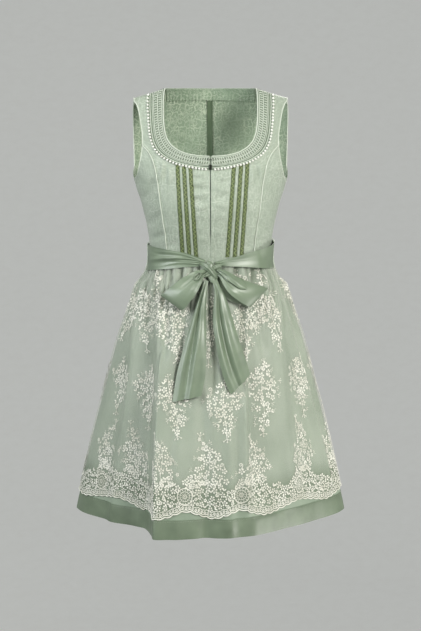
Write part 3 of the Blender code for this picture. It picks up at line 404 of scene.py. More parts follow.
FRONT_CREASES = lengths([  # lean in degrees, x, z, half length, half width, rise
    (8, -24.5, -178, 13, 2.6, 1.1), (-12, -21.5, -186.5, 14, 2.8, -0.9), (14, -24, -196, 15, 3, 1.2),
    (-9, -20, -207, 14, 3.2, -1), (10, -22.5, -218, 15, 3.4, 1.2), (-14, -19, -231, 13, 3.4, -0.8),
    (12, -18.5, -244, 12, 3.6, 1), (-8, -18, -262, 12, 3.8, 0.6), (16, -17, -285, 10, 4, 0.5),
    (-15, -16, -308, 10, 3.8, 0.6), (-10, 20, -183, 12, 2.8, 0.9), (12, 23.5, -194, 14, 3, -0.8),
    (-14, 21.5, -208, 15, 3.4, 1), (9, 20, -224, 13, 3.6, -0.8), (-12, 20.5, -240, 13, 3.6, 0.8),
    (12, 18, -263, 11, 3.8, 0.6), (-12, 17, -295, 10, 4, 0.5), (74, -98, -172, 18, 3.4, 1.4),
    (84, -90, -176, 16, 3.2, -1), (96, -83, -180, 17, 3.4, 1), (84, 85, -178, 18, 3.6, 1.2),
    (100, 93, -174, 17, 3.4, -0.9), (106, 101, -169, 16, 3.2, 1.2), (60, -124, -210, 24, 6, -1),
    (118, 126, -218, 26, 6, -1), (40, -113, -270, 20, 7, -0.8), (138, 112, -285, 20, 7, -0.9),
    (24, -106, -305, 18, 5, -0.9), (158, 108, -315, 18, 5, -0.9), (30, -80, -322, 12, 4, -0.6),
    (150, 79, -326, 12, 4, -0.6),
], 1)
BACK_CREASES = lengths([  # the same, on the back
    (14, -30, -290, 30, 6, -1), (168, 34, -298, 32, 6.2, -1.1), (20, -52, -318, 36, 6, -1.2),
    (162, 50, -324, 34, 5.6, -1.1), (8, -26, -342, 22, 5, -0.8), (172, 24, -345, 23, 5, -0.9),
    (62, -115, -230, 26, 7, -1.1), (116, 117, -242, 28, 7, -1.2), (70, -70, -130, 30, 8, 0.8),
    (108, 68, -138, 31, 8, 0.9),
], 1)
TUCKS = {"left": [(0.047, 0.0359), (0.0602, 0.0497)], "right": [(0.0543, 0.0418), (0.0681, 0.0563)]}


def front_surface(x, z):
    """The outside of the front, with its tucks, placket and creases. x is below zero on the left."""
    points = body_points(turn_at(np.abs(x), z), z)
    points[..., 0] *= np.where(x < 0, -1, 1)
    rise = hand_creases(FRONT_CREASES, x, z)
    down = np.clip((-0.16 - z) / 0.188, 0, 1)
    fade = np.clip((-0.16 - z) / 0.004, 0, 1)
    for side, tucks in TUCKS.items():
        way = -1 if side == "left" else 1
        for top, bottom in tucks:
            middle = way * (top + (bottom - top) * down)
            rise = rise + fade * 0.001 * np.exp(-(((x - middle) / 0.0018) ** 4))
    rise = rise + 0.0007 * np.exp(-(((x - 0.0036) / 0.0016) ** 4))
    rise = rise - 0.0005 * np.exp(-(((x + 0.0085) / 0.0009) ** 2)) * fade
    edge = np.clip(np.abs(x) / 0.0012, 0, 1)
    way = outward(points)
    return points + way * (rise * edge)[..., None]


def back_surface(turns, z):
    points = body_points(turns, z)
    return points + outward(points) * hand_creases(BACK_CREASES, points[..., 0], z)[..., None]


# Bodice panels.
# Two centre fronts, two side fronts and two backs, cut from a light cotton jacquard with a tone on tone
# figure of small flowers and vines, sewn together with narrow seams and turned in at every open edge.
def weave(tree, uv, pitch):
    """Height of a plain weave whose threads lie at the given pitch, in metres."""
    waves = {"Vector": uv, "Scale": 0.314 / pitch, "Distortion": 0.6}
    warp = add(tree, "TexWave", waves, bands_direction="X").outputs["Fac"]
    weft = add(tree, "TexWave", waves, bands_direction="Y").outputs["Fac"]
    return add(tree, "Math", {0: warp, 1: weft}, operation="MULTIPLY")


FLOWERS_PER_METRE = 59.0


def jacquard(name, ground, figure, rough):
    """Cotton jacquard: a weave with small five-petalled flowers joined by vines, 17 mm apart."""
    made, tree, shader = surface(name, Sheen_Weight=0.25, Sheen_Roughness=0.4, Roughness=rough)
    uv = add(tree, "UVMap", uv_map="cloth")
    stray = add(tree, "TexNoise", {"Vector": uv, "Scale": 70.0, "Detail": 3.0}).outputs["Color"]
    stray = add(tree, "VectorMath", {0: stray, "Scale": 0.017}, operation="SCALE")
    bent = add(tree, "VectorMath", {0: uv, 1: stray}, operation="ADD")
    spread = {"Vector": bent, "Scale": FLOWERS_PER_METRE, "Randomness": 0.55}
    cells = add(tree, "TexVoronoi", spread, voronoi_dimensions="2D")
    vines = add(tree, "TexVoronoi", spread, voronoi_dimensions="2D", feature="DISTANCE_TO_EDGE")
    scaled = add(tree, "VectorMath", {0: bent, "Scale": FLOWERS_PER_METRE}, operation="SCALE")
    centre = add(
        tree, "VectorMath", {0: cells.outputs["Position"], "Scale": FLOWERS_PER_METRE}, operation="SCALE"
    )
    off = add(tree, "VectorMath", {0: scaled, 1: centre}, operation="SUBTRACT")
    off = add(tree, "SeparateXYZ", {0: off})
    angle = add(tree, "Math", {0: off.outputs["Y"], 1: off.outputs["X"]}, operation="ARCTAN2")
    angle = add(tree, "Math", {0: angle, 1: 5.0}, operation="MULTIPLY")
    petals = add(tree, "Math", {0: angle}, operation="COSINE")
    radius = add(tree, "Math", {0: petals, 1: 0.07, 2: 0.27}, operation="MULTIPLY_ADD")
    line = add(tree, "Math", {0: cells, 1: radius}, operation="SUBTRACT")
    line = add(tree, "Math", {0: line}, operation="ABSOLUTE")
    line = add(tree, "Math", {0: line, 1: vines}, operation="MINIMUM")
    drawn = add(tree, "ValToRGB", {"Fac": line}, stops=[(0.035, "#ffffff"), (0.075, "#000000")])
    wide = add(tree, "TexNoise", {"Vector": uv, "Scale": 16.0, "Detail": 3.0})
    worn = add(
        tree, "MapRange", {"Value": wide, "From Min": 0.38, "From Max": 0.62, "To Min": 0.35, "To Max": 1.0}
    )
    drawn = add(tree, "Math", {0: drawn, 1: worn}, operation="MULTIPLY")
    threads = weave(tree, uv, 0.00045)
    lengthwise = add(tree, "Mapping", {"Vector": uv, "Scale": (230.0, 60.0, 1.0)})
    crushed = add(tree, "TexNoise", {"Vector": lengthwise, "Scale": 1.0, "Detail": 3.0})
    cloth = {"Factor": drawn, 6: linear(ground), 7: linear(figure)}
    shade = add(tree, "Mix", cloth, data_type="RGBA").outputs[2]
    tint = add(tree, "MapRange", {"Value": threads, "To Min": 0.93, "To Max": 1.03})
    nap = add(
        tree, "MapRange", {"Value": crushed, "From Min": 0.3, "From Max": 0.7, "To Min": 0.9, "To Max": 1.08}
    )
    tint = add(tree, "Math", {0: tint, 1: nap}, operation="MULTIPLY")
    shade = add(tree, "VectorMath", {0: shade, "Scale": tint}, operation="SCALE")
    height = add(tree, "Math", {0: drawn, 1: 0.8, 2: threads}, operation="MULTIPLY_ADD")
    height = add(tree, "Math", {0: crushed, 1: 5.0, 2: height}, operation="MULTIPLY_ADD")
    finish(tree, shader, shade, height, 0.00012, 0.6)
    return made


def flat_of(points, start=0.0):
    """Where each point of a cloth lies on the flat cloth: its run across the net, and its height."""
    step = np.linalg.norm(np.diff(points, axis=1), axis=-1)
    run = np.concatenate([np.zeros((len(points), 1)), np.cumsum(step, axis=1)], axis=1)
    return np.stack([start + run, points[..., 2]], axis=-1)


def piece_of(name, points, faces, finishes, flat=None):
    """A piece of the dress, from points and faces. Flat says where each point lies on the flat cloth."""
    mesh = bpy.data.meshes.new(name)
    mesh.from_pydata(np.reshape(points, (-1, 3)).tolist(), [], faces)
    if flat is not None:
        corner = np.empty(len(mesh.loops), int)
        mesh.loops.foreach_get("vertex_index", corner)
        mesh.uv_layers.new(name="cloth").data.foreach_set("uv", flat.reshape(-1, 2)[corner].ravel())
    for made in finishes:
        mesh.materials.append(made)
    mesh.shade_smooth()
    piece = bpy.data.objects.new(name, mesh)
    bpy.context.scene.collection.objects.link(piece)
    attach(piece, "dress")
    return piece


def quads_of(index):
    """The faces between the rows and columns of a net of points."""
    return np.stack([index[:-1, :-1], index[:-1, 1:], index[1:, 1:], index[1:, :-1]], -1).reshape(-1, 4)


def rim_of(index):
    """The points round a net's four edges, and the point that follows each."""
    edge = np.concatenate([index[0], index[1:, -1], index[-1, -2::-1], index[-2:0:-1, 0]])
    return edge, np.roll(edge, -1)


def shell(name, outer, inner, flat, finishes):
    """A closed thin cloth between two nets of points. The second finish, where given, is its inside."""
    rows, columns = outer.shape[:2]
    count = rows * columns
    index = np.arange(count).reshape(rows, columns)
    face = quads_of(index)
    edge, after = rim_of(index)
    rim = np.stack([edge, edge + count, after + count, after], -1)
    faces = np.concatenate([face, face[:, ::-1] + count, rim])
    row, column = rows // 2, columns // 2
    a, b, c = outer[row, column], outer[row, column + 1], outer[row + 1, column]
    if np.dot(np.cross(b - a, c - a), a - inner[row, column]) < 0:
        faces = faces[:, ::-1]
    piece = piece_of(name, np.stack([outer, inner]), faces.tolist(), finishes, np.stack([flat, flat]))
    which = np.zeros(len(faces), int)
    which[len(face) : 2 * len(face)] = len(finishes) - 1
    piece.data.polygons.foreach_set("material_index", which)
    piece.data.set_sharp_from_angle(angle=math.radians(60))
    return piece


jacquard_outside = jacquard("sage_cotton_jacquard", "#a9b6a4", "#c0cabb", 0.55)
# The wrong side of the cloth in its own tones, painted lighter to stand in for light inside the bodice:
# partly its own colour, partly painted light.
jacquard_inside_painted_light = jacquard("sage_cotton_jacquard_inside", "#9cb096", "#cbd8c0", 0.7)
BODICE_CLOTH = 0.0007
PANELS = [  # name, net, rows, columns, flat size, flat area: metres
    ("front", front_grid(), 170, 80, (0.19, 0.345), 0.0345),
    ("side_front", side_front_grid(), 90, 44, (0.11, 0.25), 0.0205),
    ("back", back_grid(), 100, 60, (0.23, 0.375), 0.0665),
]
for part, grid, rows, columns, flat_size, flat_area in PANELS:
    grid = finer(grid, rows, columns)
    for side, way in (("left", -1), ("right", 1)):
        if part == "back":
            points = back_surface(grid[..., 0], grid[..., 1]) * np.array([way, 1, 1])
        else:
            bare = body_points(grid[..., 0], grid[..., 1])
            points = front_surface(way * bare[..., 0], bare[..., 2])
        inner = points - outward(points) * BODICE_CLOTH
        panel = shell(
            f"{part}_{side}_cloth", points, inner, flat_of(points, 0.42 * max(way, 0)), [
                jacquard_outside, jacquard_inside_painted_light
            ],
        )
        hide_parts(f"{part}_{side}")


# Stitching and fine cords on the bodice.
# Polyester sewing thread: rows of small stitches along every turned edge, and the rolled edges and
# piping, which are thin cords covered with bias-cut cotton.
def joined(name, parts, finishing):
    """One object from many small closed meshes, each given as points and faces."""
    points, faces, start = [], [], 0
    for some_points, some_faces in parts:
        points.append(np.asarray(some_points, float).reshape(-1, 3))
        faces += [[start + i for i in face] for face in some_faces]
        start += len(points[-1])
    return piece_of(name, np.concatenate(points), faces, [finishing])


def tube(path, radius, sides=6, closed=False):
    """A round cord along a path. The radius may differ from point to point."""
    path = np.asarray(path, float)
    radius = np.broadcast_to(radius, len(path))
    if closed:
        along_path = np.roll(path, -1, axis=0) - np.roll(path, 1, axis=0)
    else:
        along_path = np.gradient(path, axis=0)
    along_path /= np.maximum(np.linalg.norm(along_path, axis=1, keepdims=True), 1e-9)
    aside = np.cross(along_path, [0.0, 0.0, 1.0])
    steep = np.linalg.norm(aside, axis=1) < 0.2
    aside[steep] = np.cross(along_path[steep], [0.0, 1.0, 0.0])
    for i in range(1, len(aside)):
        if np.dot(aside[i], aside[i - 1]) < 0:
            aside[i] *= -1
    aside /= np.linalg.norm(aside, axis=1, keepdims=True)
    above = np.cross(aside, along_path)
    angles = 2 * math.pi * np.arange(sides) / sides
    ring = np.cos(angles)[None, :, None] * aside[:, None] + np.sin(angles)[None, :, None] * above[:, None]
    points = path[:, None] + ring * radius[:, None, None]
    faces = []
    for i in range(len(path) if closed else len(path) - 1):
        j = (i + 1) % len(path)
        for k in range(sides):
            m = (k + 1) % sides
            faces.append((i * sides + m, i * sides + k, j * sides + k, j * sides + m))
    if not closed:
        faces.append(tuple(range(sides)))
        faces.append(tuple((len(path) - 1) * sides + k for k in range(sides))[::-1])
    return points.reshape(-1, 3), faces


def resample(path, step):
    """The path's points at an even spacing of about the given step."""
    path = np.asarray(path, float)
    run = np.concatenate([[0], np.cumsum(np.linalg.norm(np.diff(path, axis=0), axis=1))])
    places = np.linspace(0, run[-1], max(int(round(run[-1] / step)), 2) + 1)
    return np.stack([np.interp(places, run, path[:, k]) for k in range(3)], axis=1)


STITCH_FACES = [(0, 2, 3), (0, 3, 4), (0, 4, 5), (0, 5, 2), (1, 3, 2), (1, 4, 3), (1, 5, 4), (1, 2, 5)]


def stitches(path, out, length=0.0022, gap=0.0009, radius=0.00028):
    """Stitches end to end along a path: pointed at both ends where the thread goes through the cloth."""
    ends = resample(path, length + gap)
    out = np.broadcast_to(np.asarray(out, float), (len(path), 3))
    parts = []
    for i in range(len(ends) - 1):
        start, stop = ends[i], ends[i] + (ends[i + 1] - ends[i]) * length / (length + gap)
        away = out[min(int(i / (len(ends) - 1) * len(out)), len(out) - 1)]
        aside = np.cross(stop - start, away)
        aside /= max(np.linalg.norm(aside), 1e-9)
        middle = (start + stop) / 2 + away * radius * 0.4
        over, beside = away * radius, aside * radius
        points = [start, stop, middle + beside, middle + over, middle - beside, middle - over]
        parts.append((points, STITCH_FACES))
    return parts


def speckled(name, scale, detail, stops, relief=(), **values):
    """A finish whose tone varies in fine specks, so many to the metre, with a relief's depth and strength."""
    made, tree, shader = surface(name, **values)
    place = add(tree, "TexCoord").outputs["Object"]
    specks = add(tree, "TexNoise", {"Vector": place, "Scale": scale, "Detail": detail})
    tone = add(tree, "ValToRGB", {"Fac": specks}, stops=stops)
    finish(tree, shader, tone, *((specks, *relief) if relief else ()))
    return made


PLY = 2600.0  # the twist of sewing thread, 0.4 mm
thread = speckled(
    "sage_sewing_thread", PLY, 2.0, [(0.3, "#97a68f"), (0.7, "#bcc7b5")], (0.0001, 0.4),
    Roughness=0.5, Sheen_Weight=0.2,
)
bias_cotton, tree, shader = surface("sage_bias_cotton", Roughness=0.55, Sheen_Weight=0.3)
place = add(tree, "TexCoord").outputs["Object"]
slant = add(tree, "TexWave", {"Vector": place, "Scale": 420.0, "Distortion": 1.5}, bands_direction="DIAGONAL")
blotch = add(tree, "TexNoise", {"Vector": place, "Scale": 90.0, "Detail": 3.0})
tone = add(tree, "ValToRGB", {"Fac": blotch}, stops=[(0.3, "#c9d3c3"), (0.7, "#d8e0d2")])
finish(tree, shader, tone, slant.outputs["Fac"], 0.00015, 0.5)

cords, seams = [], []
for way in (-1, 1):
    line = along(PRINCESS_SEAM, 120)[2:]
    path = front_surface(way * line[:, 0], line[:, 1])
    cords.append(tube(path + outward(path) * 0.001, 0.00125, 8))
    for shift in (-0.0032, 0.0032):
        beside = front_surface(way * (line[:-6, 0] + shift), line[:-6, 1] + shift * 0.4)
        seams += stitches(beside + outward(beside) * 0.0003, outward(beside), 0.0026, 0.001, 0.00022)
    edge = np.vstack([along(ARMHOLE_FRONT, 60), over_shoulder(0.158, SHOULDER_HALF)[1:]])
    front_edge = front_surface(way * edge[:, 0], edge[:, 1])
    inset = front_surface(way * (edge[:, 0] - 0.0058), edge[:, 1] - 0.0004)
    under = along(ARMHOLE_UNDER, 40)
    under_edge = front_surface(way * under[:, 0], under[:, 1])
    under_inset = front_surface(way * np.clip(under[:, 0] - 0.0045, 0, 1), under[:, 1] - 0.004)
    back = turned(np.vstack([along(ARMHOLE_BACK, 60), over_shoulder(0.1615, SHOULDER_HALF)[1:]]), back=True)
    back_edge = back_surface(back[:, 0], back[:, 1]) * np.array([way, 1, 1])
    back_inset = (
        back_surface(back[:, 0] + np.linspace(0.4, 5.5, len(back)), back[:, 1] - 0.0042)
        * np.array([way, 1, 1])
    )
    loop = np.concatenate([front_edge[::-1], under_edge[1:], back_edge[1:]])
    loop = resample(loop, 0.0045)
    cords.append(tube(loop - outward(loop) * 0.0003, 0.00125, 8))
    for path in (inset, under_inset, back_inset):
        seams += stitches(path + outward(path) * 0.0003, outward(path))
    shoulder = np.linspace(NECK_HALF + 0.002, SHOULDER_HALF - 0.002, 24)
    ridge = np.column_stack([way * shoulder, 0 * shoulder, height_at_drop(shoulder, 0.0)])
    seams += stitches(ridge + np.array([0, 0.0035, 0.0002]), (0, 0, 1), 0.0026, 0.001, 0.00022)
rolled = joined("piping_and_rolled_edges", cords, bias_cotton)
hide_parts("piping_left", "piping_right")
joined("bodice_topstitching", seams, thread)


# Back neck facing.
# A strip of the same jacquard, wrong side out, that backs the neck edge inside and is stitched down
# along its lower edge, which ripples between the stitches. A bound seam runs down from it.
facing_cloth = jacquard("sage_facing_jacquard", "#94a98f", "#bccab3", 0.7)
FACING_DEPTH = 0.0235
neck_reach = np.linspace(0, NECK_HALF, 90)
top_line = turned(
    np.column_stack([neck_reach, NAPE_Z * (1 - (neck_reach / NECK_HALF) ** 2) - 0.0004]), back=True
)
rows = np.linspace(0, 1, 26)[:, None]
turns = top_line[None, :, 0] * np.ones_like(rows)
heights = top_line[None, :, 1] - FACING_DEPTH * rows
half = body_points(turns, heights)
whole = np.concatenate([half[:, :0:-1] * np.array([-1, 1, 1]), half], axis=1)
whole = whole[:, ::-1] if whole[0, 0, 0] > whole[0, -1, 0] else whole
run = np.linspace(0, 1, whole.shape[1])[None, :]
ripple = (0.0003 + 0.0016 * rows**3) * (0.5 + 0.5 * np.sin(2 * math.pi * 27 * run + 1.3 * np.sin(9 * run)))
way = outward(whole)
outer = whole - way * (0.0011 + ripple)[..., None]
facing = shell(
    "back_neck_facing_cloth", outer, outer - way * 0.0006, flat_of(outer), [facing_cloth]
)
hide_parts("back_neck_facing")

# Dark sage thread for the inside stitching and the centre back seam line. The same colour also makes two
# cords that are painted shade: one behind the neck band's pearls, one along the top of the hem band.
dark_thread_and_painted_shade = speckled(
    "dark_sage_thread_and_painted_shade", PLY, 2.0, [(0.3, "#6d806a"), (0.7, "#94a48d")], (0.0001, 0.4), Roughness=0.55
)
low_row = outer[-2] - way[-2] * 0.0009
inside_seams = stitches(low_row, -way[-2], 0.0024, 0.0012, 0.0003)
top_row = outer[3] - way[3] * 0.0009
inside_seams += stitches(top_row, -way[3], 0.002, 0.001, 0.00025)


def ribbed(name, scale, stray, direction, stops, depth, **values):
    """Woven tape with fine ribs, which stray a little from straight."""
    made, tree, shader = surface(name, **values)
    ribs = {"Vector": add(tree, "UVMap", uv_map="cloth"), "Scale": scale, "Distortion": stray}
    rib = add(tree, "TexWave", ribs, bands_direction=direction).outputs["Fac"]
    finish(tree, shader, add(tree, "ValToRGB", {"Fac": rib}, stops=stops), rib, depth, 0.6)
    return made


seam_tape = ribbed(
    "olive_seam_binding", 520.0, 0.4, "Y", [(0.2, "#53674f"), (0.8, "#637859")], 0.00015,
    Roughness=0.7, Sheen_Weight=0.2,
)
heights = np.linspace(-0.0225, -0.356, 120)[:, None]
across = np.linspace(-0.0075, 0.0045, 9)[None, :]
turns = 180 - np.degrees(np.arcsin(np.clip(np.abs(across) / 0.16, 0, 1) ** (ROUND / 2))) + 0 * heights
base = body_points(turns, heights + 0 * across)
base[..., 0] = across + 0 * heights
fold = 0.0012 * np.exp(-(((across - 0.0036) / 0.001) ** 2))
base[..., 1] -= 0.0016 + fold + 0.0003 * np.sin(heights * 180)
bound = shell(
    "centre_back_seam_binding", base, base - np.array([0, 0.0005, 0]), flat_of(base), [seam_tape]
)
for shift in (-0.0068, 0.0032):
    line = np.column_stack([np.full(120, shift), base[:, 4, 1] - 0.0008, heights[:, 0]])
    inside_seams += stitches(line, (0, -1, 0), 0.0024, 0.0012, 0.00025)
heights = np.linspace(-0.003, -0.33, 90)
back_seam = back_surface(np.full(90, 180.0), heights)
joined("centre_back_seam_line", [tube(back_seam + [0, 0.0001, 0], 0.0005, 5)], dark_thread_and_painted_shade)
joined("inside_stitching", inside_seams, dark_thread_and_painted_shade)


# Neck band.
# A ready-made cotton braid, 26 mm wide, that frames the front neckline: two ladders of fine stitches
# between raised cords, a satin cord along the neckline and a row of pearls along the lower edge.
def band_point(share_along, share_across, way):
    """A point of the band: how far along it runs and how far across it lies, each from 0 to 1."""
    spots = np.linspace(0, 1, 240)
    upper = np.vstack([along(NECKLINE, 220), over_shoulder(0.0962, 0.0935)[:4]])
    lower = np.vstack([along(NECK_BAND_EDGE, 220), over_shoulder(0.1295, 0.13)[:4]])
    lines = []
    for line in (upper, lower):
        run = np.concatenate([[0], np.cumsum(np.linalg.norm(np.diff(line, axis=0), axis=1))])
        lines.append([np.interp(share_along * run[-1], run, line[:, k]) for k in range(2)])
    x = lines[0][0] * (1 - share_across) + lines[1][0] * share_across
    z = lines[0][1] * (1 - share_across) + lines[1][1] * share_across
    points = front_surface(way * np.maximum(x, 0.0031), z)
    return points, outward(points)


braid_ground, tree, shader = surface("sage_cotton_braid", Roughness=0.7, Sheen_Weight=0.2)
uv = add(tree, "UVMap", uv_map="cloth")
plait = add(tree, "TexWave", {"Vector": uv, "Scale": 330.0, "Distortion": 1.2}, bands_direction="DIAGONAL")
specks = add(tree, "TexNoise", {"Vector": uv, "Scale": 420.0, "Detail": 2.0})
both = add(tree, "Math", {0: plait.outputs["Fac"], 1: specks}, operation="MULTIPLY")
tone = add(tree, "ValToRGB", {"Fac": both}, stops=[(0.1, "#647360"), (0.5, "#8f9d89")])
finish(tree, shader, tone, both, 0.0003, 0.6)
braid_light = speckled(
    "pale_sage_braid_cotton", 1500.0, 2.0, [(0.3, "#bac5b4"), (0.7, "#dae1d4")], (0.00015, 0.5),
    Roughness=0.6, Sheen_Weight=0.2,
)
pearl = speckled(
    "ivory_pearl", 700.0, 2.0, [(0.3, "#e9eae0"), (0.7, "#fbfbf6")], Roughness=0.18,
    Coat_Weight=0.6, Coat_Roughness=0.08,
)

ball_points, ball_faces = [(0, 0, 1)], []
for ring in range(1, 5):
    for step in range(8):
        polar, turn = math.pi * ring / 5, math.pi * step / 4
        reach = math.sin(polar)
        ball_points.append((reach * math.cos(turn), reach * math.sin(turn), math.cos(polar)))
ball_points.append((0, 0, -1))
for step in range(8):
    after = (step + 1) % 8
    ball_faces.append((0, 1 + step, 1 + after))
    ball_faces.append((33, 25 + after, 25 + step))
    for ring in range(3):
        at = 1 + 8 * ring
        ball_faces.append((at + step, at + 8 + step, at + 8 + after, at + after))
ball_points = np.array(ball_points)

RUNGS = 45  # stitches in each ladder, 5.2 mm apart
light_parts, dark_parts, pearl_parts = [], [], []
for side, way in (("left", -1), ("right", 1)):
    share_along = np.linspace(0, 1, 180)[:, None] + np.zeros((1, 37))
    share_across = np.linspace(0.0, 0.9, 37)[None, :] + np.zeros((180, 1))
    points, out = band_point(share_along, share_across, way)
    relief = 0.0008 + 0.0005 * np.cos(2 * math.pi * share_across * 4.4) ** 2
    relief = relief - 0.0006 * np.exp(-(((share_across - 0.76) / 0.035) ** 2))
    outer = points + out * relief[..., None]
    band = shell(
        f"neck_band_braid_{side}", outer, points + out * 0.0002, flat_of(outer), [braid_ground]
    )
    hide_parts(f"neck_band_{side}")
    for share, radius in (
        (0.015, 0.0015), (0.125, 0.0008), (0.38, 0.001), (0.63, 0.0008), (0.72, 0.0006), (0.86, 0.0009)
    ):
        path, out = band_point(np.linspace(0.002, 1, 200), share, way)
        light_parts.append(tube(path + out * (0.0011 if share > 0.05 else 0.0004), radius, 6))
    spots = (np.arange(RUNGS) + 0.5) / RUNGS
    for low, high in ((0.165, 0.335), (0.43, 0.59)):
        start, out = band_point(spots, low, way)
        stop, _ = band_point(spots + 0.2 / RUNGS, high, way)
        for i in range(RUNGS):
            rung = np.stack([start[i], (start[i] + stop[i]) / 2 + out[i] * 0.0005, stop[i]]) + out[i] * 0.0011
            light_parts.append(tube(rung, 0.00115, 4))
    count = 35 if side == "left" else 36
    spots = np.linspace(0.035, 0.985, count)
    where, out = band_point(spots, 0.985, way)
    for i in range(count):
        pearl_parts.append((where[i] + out[i] * 0.0024 + ball_points * 0.00255, ball_faces))
    path, out = band_point(np.linspace(0.002, 1, 200), 0.955, way)
    dark_parts.append(tube(path + out * 0.0004, 0.001, 6))
joined("neck_band_cords_and_ladders", light_parts, braid_light)
joined("neck_band_shadow_cord", dark_parts, dark_thread_and_painted_shade)
joined("neck_band_pearls", pearl_parts, pearl)


# Ribbons on the fronts.
# Three olive jacquard ribbons, 8 mm wide, with a vine woven in. They are sewn down each front between the
# tucks with matching thread along both edges, their ends under the neck band and the sash.
ribbon_cloth, tree, shader = surface("olive_jacquard_ribbon", Roughness=0.45, Sheen_Weight=0.3)
uv = add(tree, "UVMap", uv_map="cloth")
spot = add(tree, "SeparateXYZ", {0: uv})
down = add(tree, "Math", {0: spot.outputs["Y"], 1: 2 * math.pi / 0.0088}, operation="MULTIPLY")
sway = add(tree, "Math", {0: down}, operation="SINE")
sway = add(tree, "Math", {0: sway, 1: 0.0021, 2: 0.0041}, operation="MULTIPLY_ADD")
vine = add(tree, "Math", {0: spot.outputs["X"], 1: sway}, operation="SUBTRACT")
vine = add(tree, "Math", {0: vine}, operation="ABSOLUTE")
leaf = add(tree, "TexVoronoi", {"Vector": uv, "Scale": 390.0, "Randomness": 0.5}, voronoi_dimensions="2D")
leaf = add(tree, "Math", {0: leaf, 1: 0.004}, operation="MULTIPLY")
figure = add(tree, "Math", {0: vine, 1: leaf}, operation="MINIMUM")
figure = add(
    tree, "MapRange", {"Value": figure, "From Min": 0.0006, "From Max": 0.0012, "To Min": 1.0, "To Max": 0.0}
)
threads = weave(tree, uv, 0.0004)
shade = add(tree, "Mix", {"Factor": figure, 6: linear("#3c4c20"), 7: linear("#8fa166")}, data_type="RGBA")
tint = add(tree, "MapRange", {"Value": threads, "To Min": 0.86, "To Max": 1.06})
shade = add(tree, "VectorMath", {0: shade.outputs[2], "Scale": tint}, operation="SCALE")
height = add(tree, "Math", {0: figure, 1: 0.7, 2: threads}, operation="MULTIPLY_ADD")
finish(tree, shader, shade, height, 0.0002, 0.7)
olive_thread = speckled("olive_sewing_thread", PLY, 2.0, [(0.3, "#55643d"), (0.7, "#7b8a60")], Roughness=0.5)

ribbon_seams = []
for side, way in (("left", -1), ("right", 1)):
    for number, (top, bottom) in enumerate(RIBBONS[side], start=1):
        edge = float(table_value(NECK_BAND_EDGE, top)) + 0.0015
        z = np.linspace(edge, RIBBON_BOTTOM_Z, 140)[:, None]
        middle = np.linspace(top, bottom, 140)[:, None] + 0.0002 * np.sin(z * 260 + number)
        across = np.linspace(-0.5, 0.5, 15)[None, :]
        x = way * (middle + across * 0.008)
        points = front_surface(x, z + 0 * x)
        out = outward(points)
        crown = 0.0007 + 0.0004 * (1 - (2 * across) ** 4)
        outer = points + out * crown[..., None]
        flat = np.stack([(across + 0.5) * 0.008 + 0 * z, z + 0 * x], axis=-1)
        ribbon = shell(
            f"ribbon_{side}_{number}_woven", outer, points + out * 0.0001, flat, [ribbon_cloth],
        )
        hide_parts(f"ribbon_{side}_{number}")
        for column in (1, 13):
            line = outer[:, column] + out[:, column] * 0.0001
            ribbon_seams += stitches(line, out[70, column], 0.002, 0.001, 0.0002)
joined("ribbon_stitching", ribbon_seams, olive_thread)


# Front zip, with its hook and eye.
# A fine coil zip on woven tape behind the slit, a lacquered slider with a plain pull tab at the top,
# and above it a wire hook and eye that close the band.
# The tape is dark, and painted darker still to stand for the shade in the narrow slit: partly its own colour,
# partly painted shade.
tape_cloth = ribbed(
    "sage_zip_tape_and_painted_shade", 620.0, 0.3, "DIAGONAL", [(0.2, "#39453a"), (0.8, "#4a5848")], 0.0002, Roughness=0.75
)
z = np.linspace(-0.15, -0.345, 80)[:, None]
x = np.linspace(-1, 1, 25)[None, :] * 0.013 + 0 * z
points = body_points(turn_at(np.abs(x), z + 0 * x), z + 0 * x)
points[..., 0] = x
way = outward(points)
outer = points - way * 0.0021
tape = shell("zip_tape_woven", outer, outer - way * 0.0006, flat_of(outer), [tape_cloth])
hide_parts("zip_tape")

# The coil is painted near black, darker than its own colour, as painted shade along the slit.
coil = speckled(
    "nylon_zip_coil_and_painted_shade", 900.0, 2.0, [(0.3, "#232b23"), (0.7, "#364235")], Roughness=0.3, Coat_Weight=0.2
)
coil_parts = []
for i in range(145):
    height = -0.164 - i * 0.00122
    middle = body_points(np.array(0.0), np.array(height))
    out = outward(middle)
    lean = 1 if i % 2 else -1
    path = np.array([[-0.0016 * lean, 0, 0.0001], [-0.0004 * lean, 0, 0.0], [0.0012 * lean, 0, -0.0002]])
    sunk = 0.0001 if height > ZIP_SLIT_BOTTOM_Z else 0.0013
    coil_parts.append(tube(middle - out * sunk + path * [0.8, 1, 1], [0.00035, 0.0005, 0.00045], 6))
joined("zip_coil", coil_parts, coil)

lacquer = speckled(
    "dark_lacquered_zinc", 1400.0, 4.0, [(0.35, "#3d433a"), (0.75, "#5c6456")], (0.00005, 0.5),
    Metallic=0.85, Roughness=0.32, Coat_Weight=0.4,
)
for node in ("zip_slider", "zip_tab"):
    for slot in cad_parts[node].material_slots:
        slot.material = lacquer

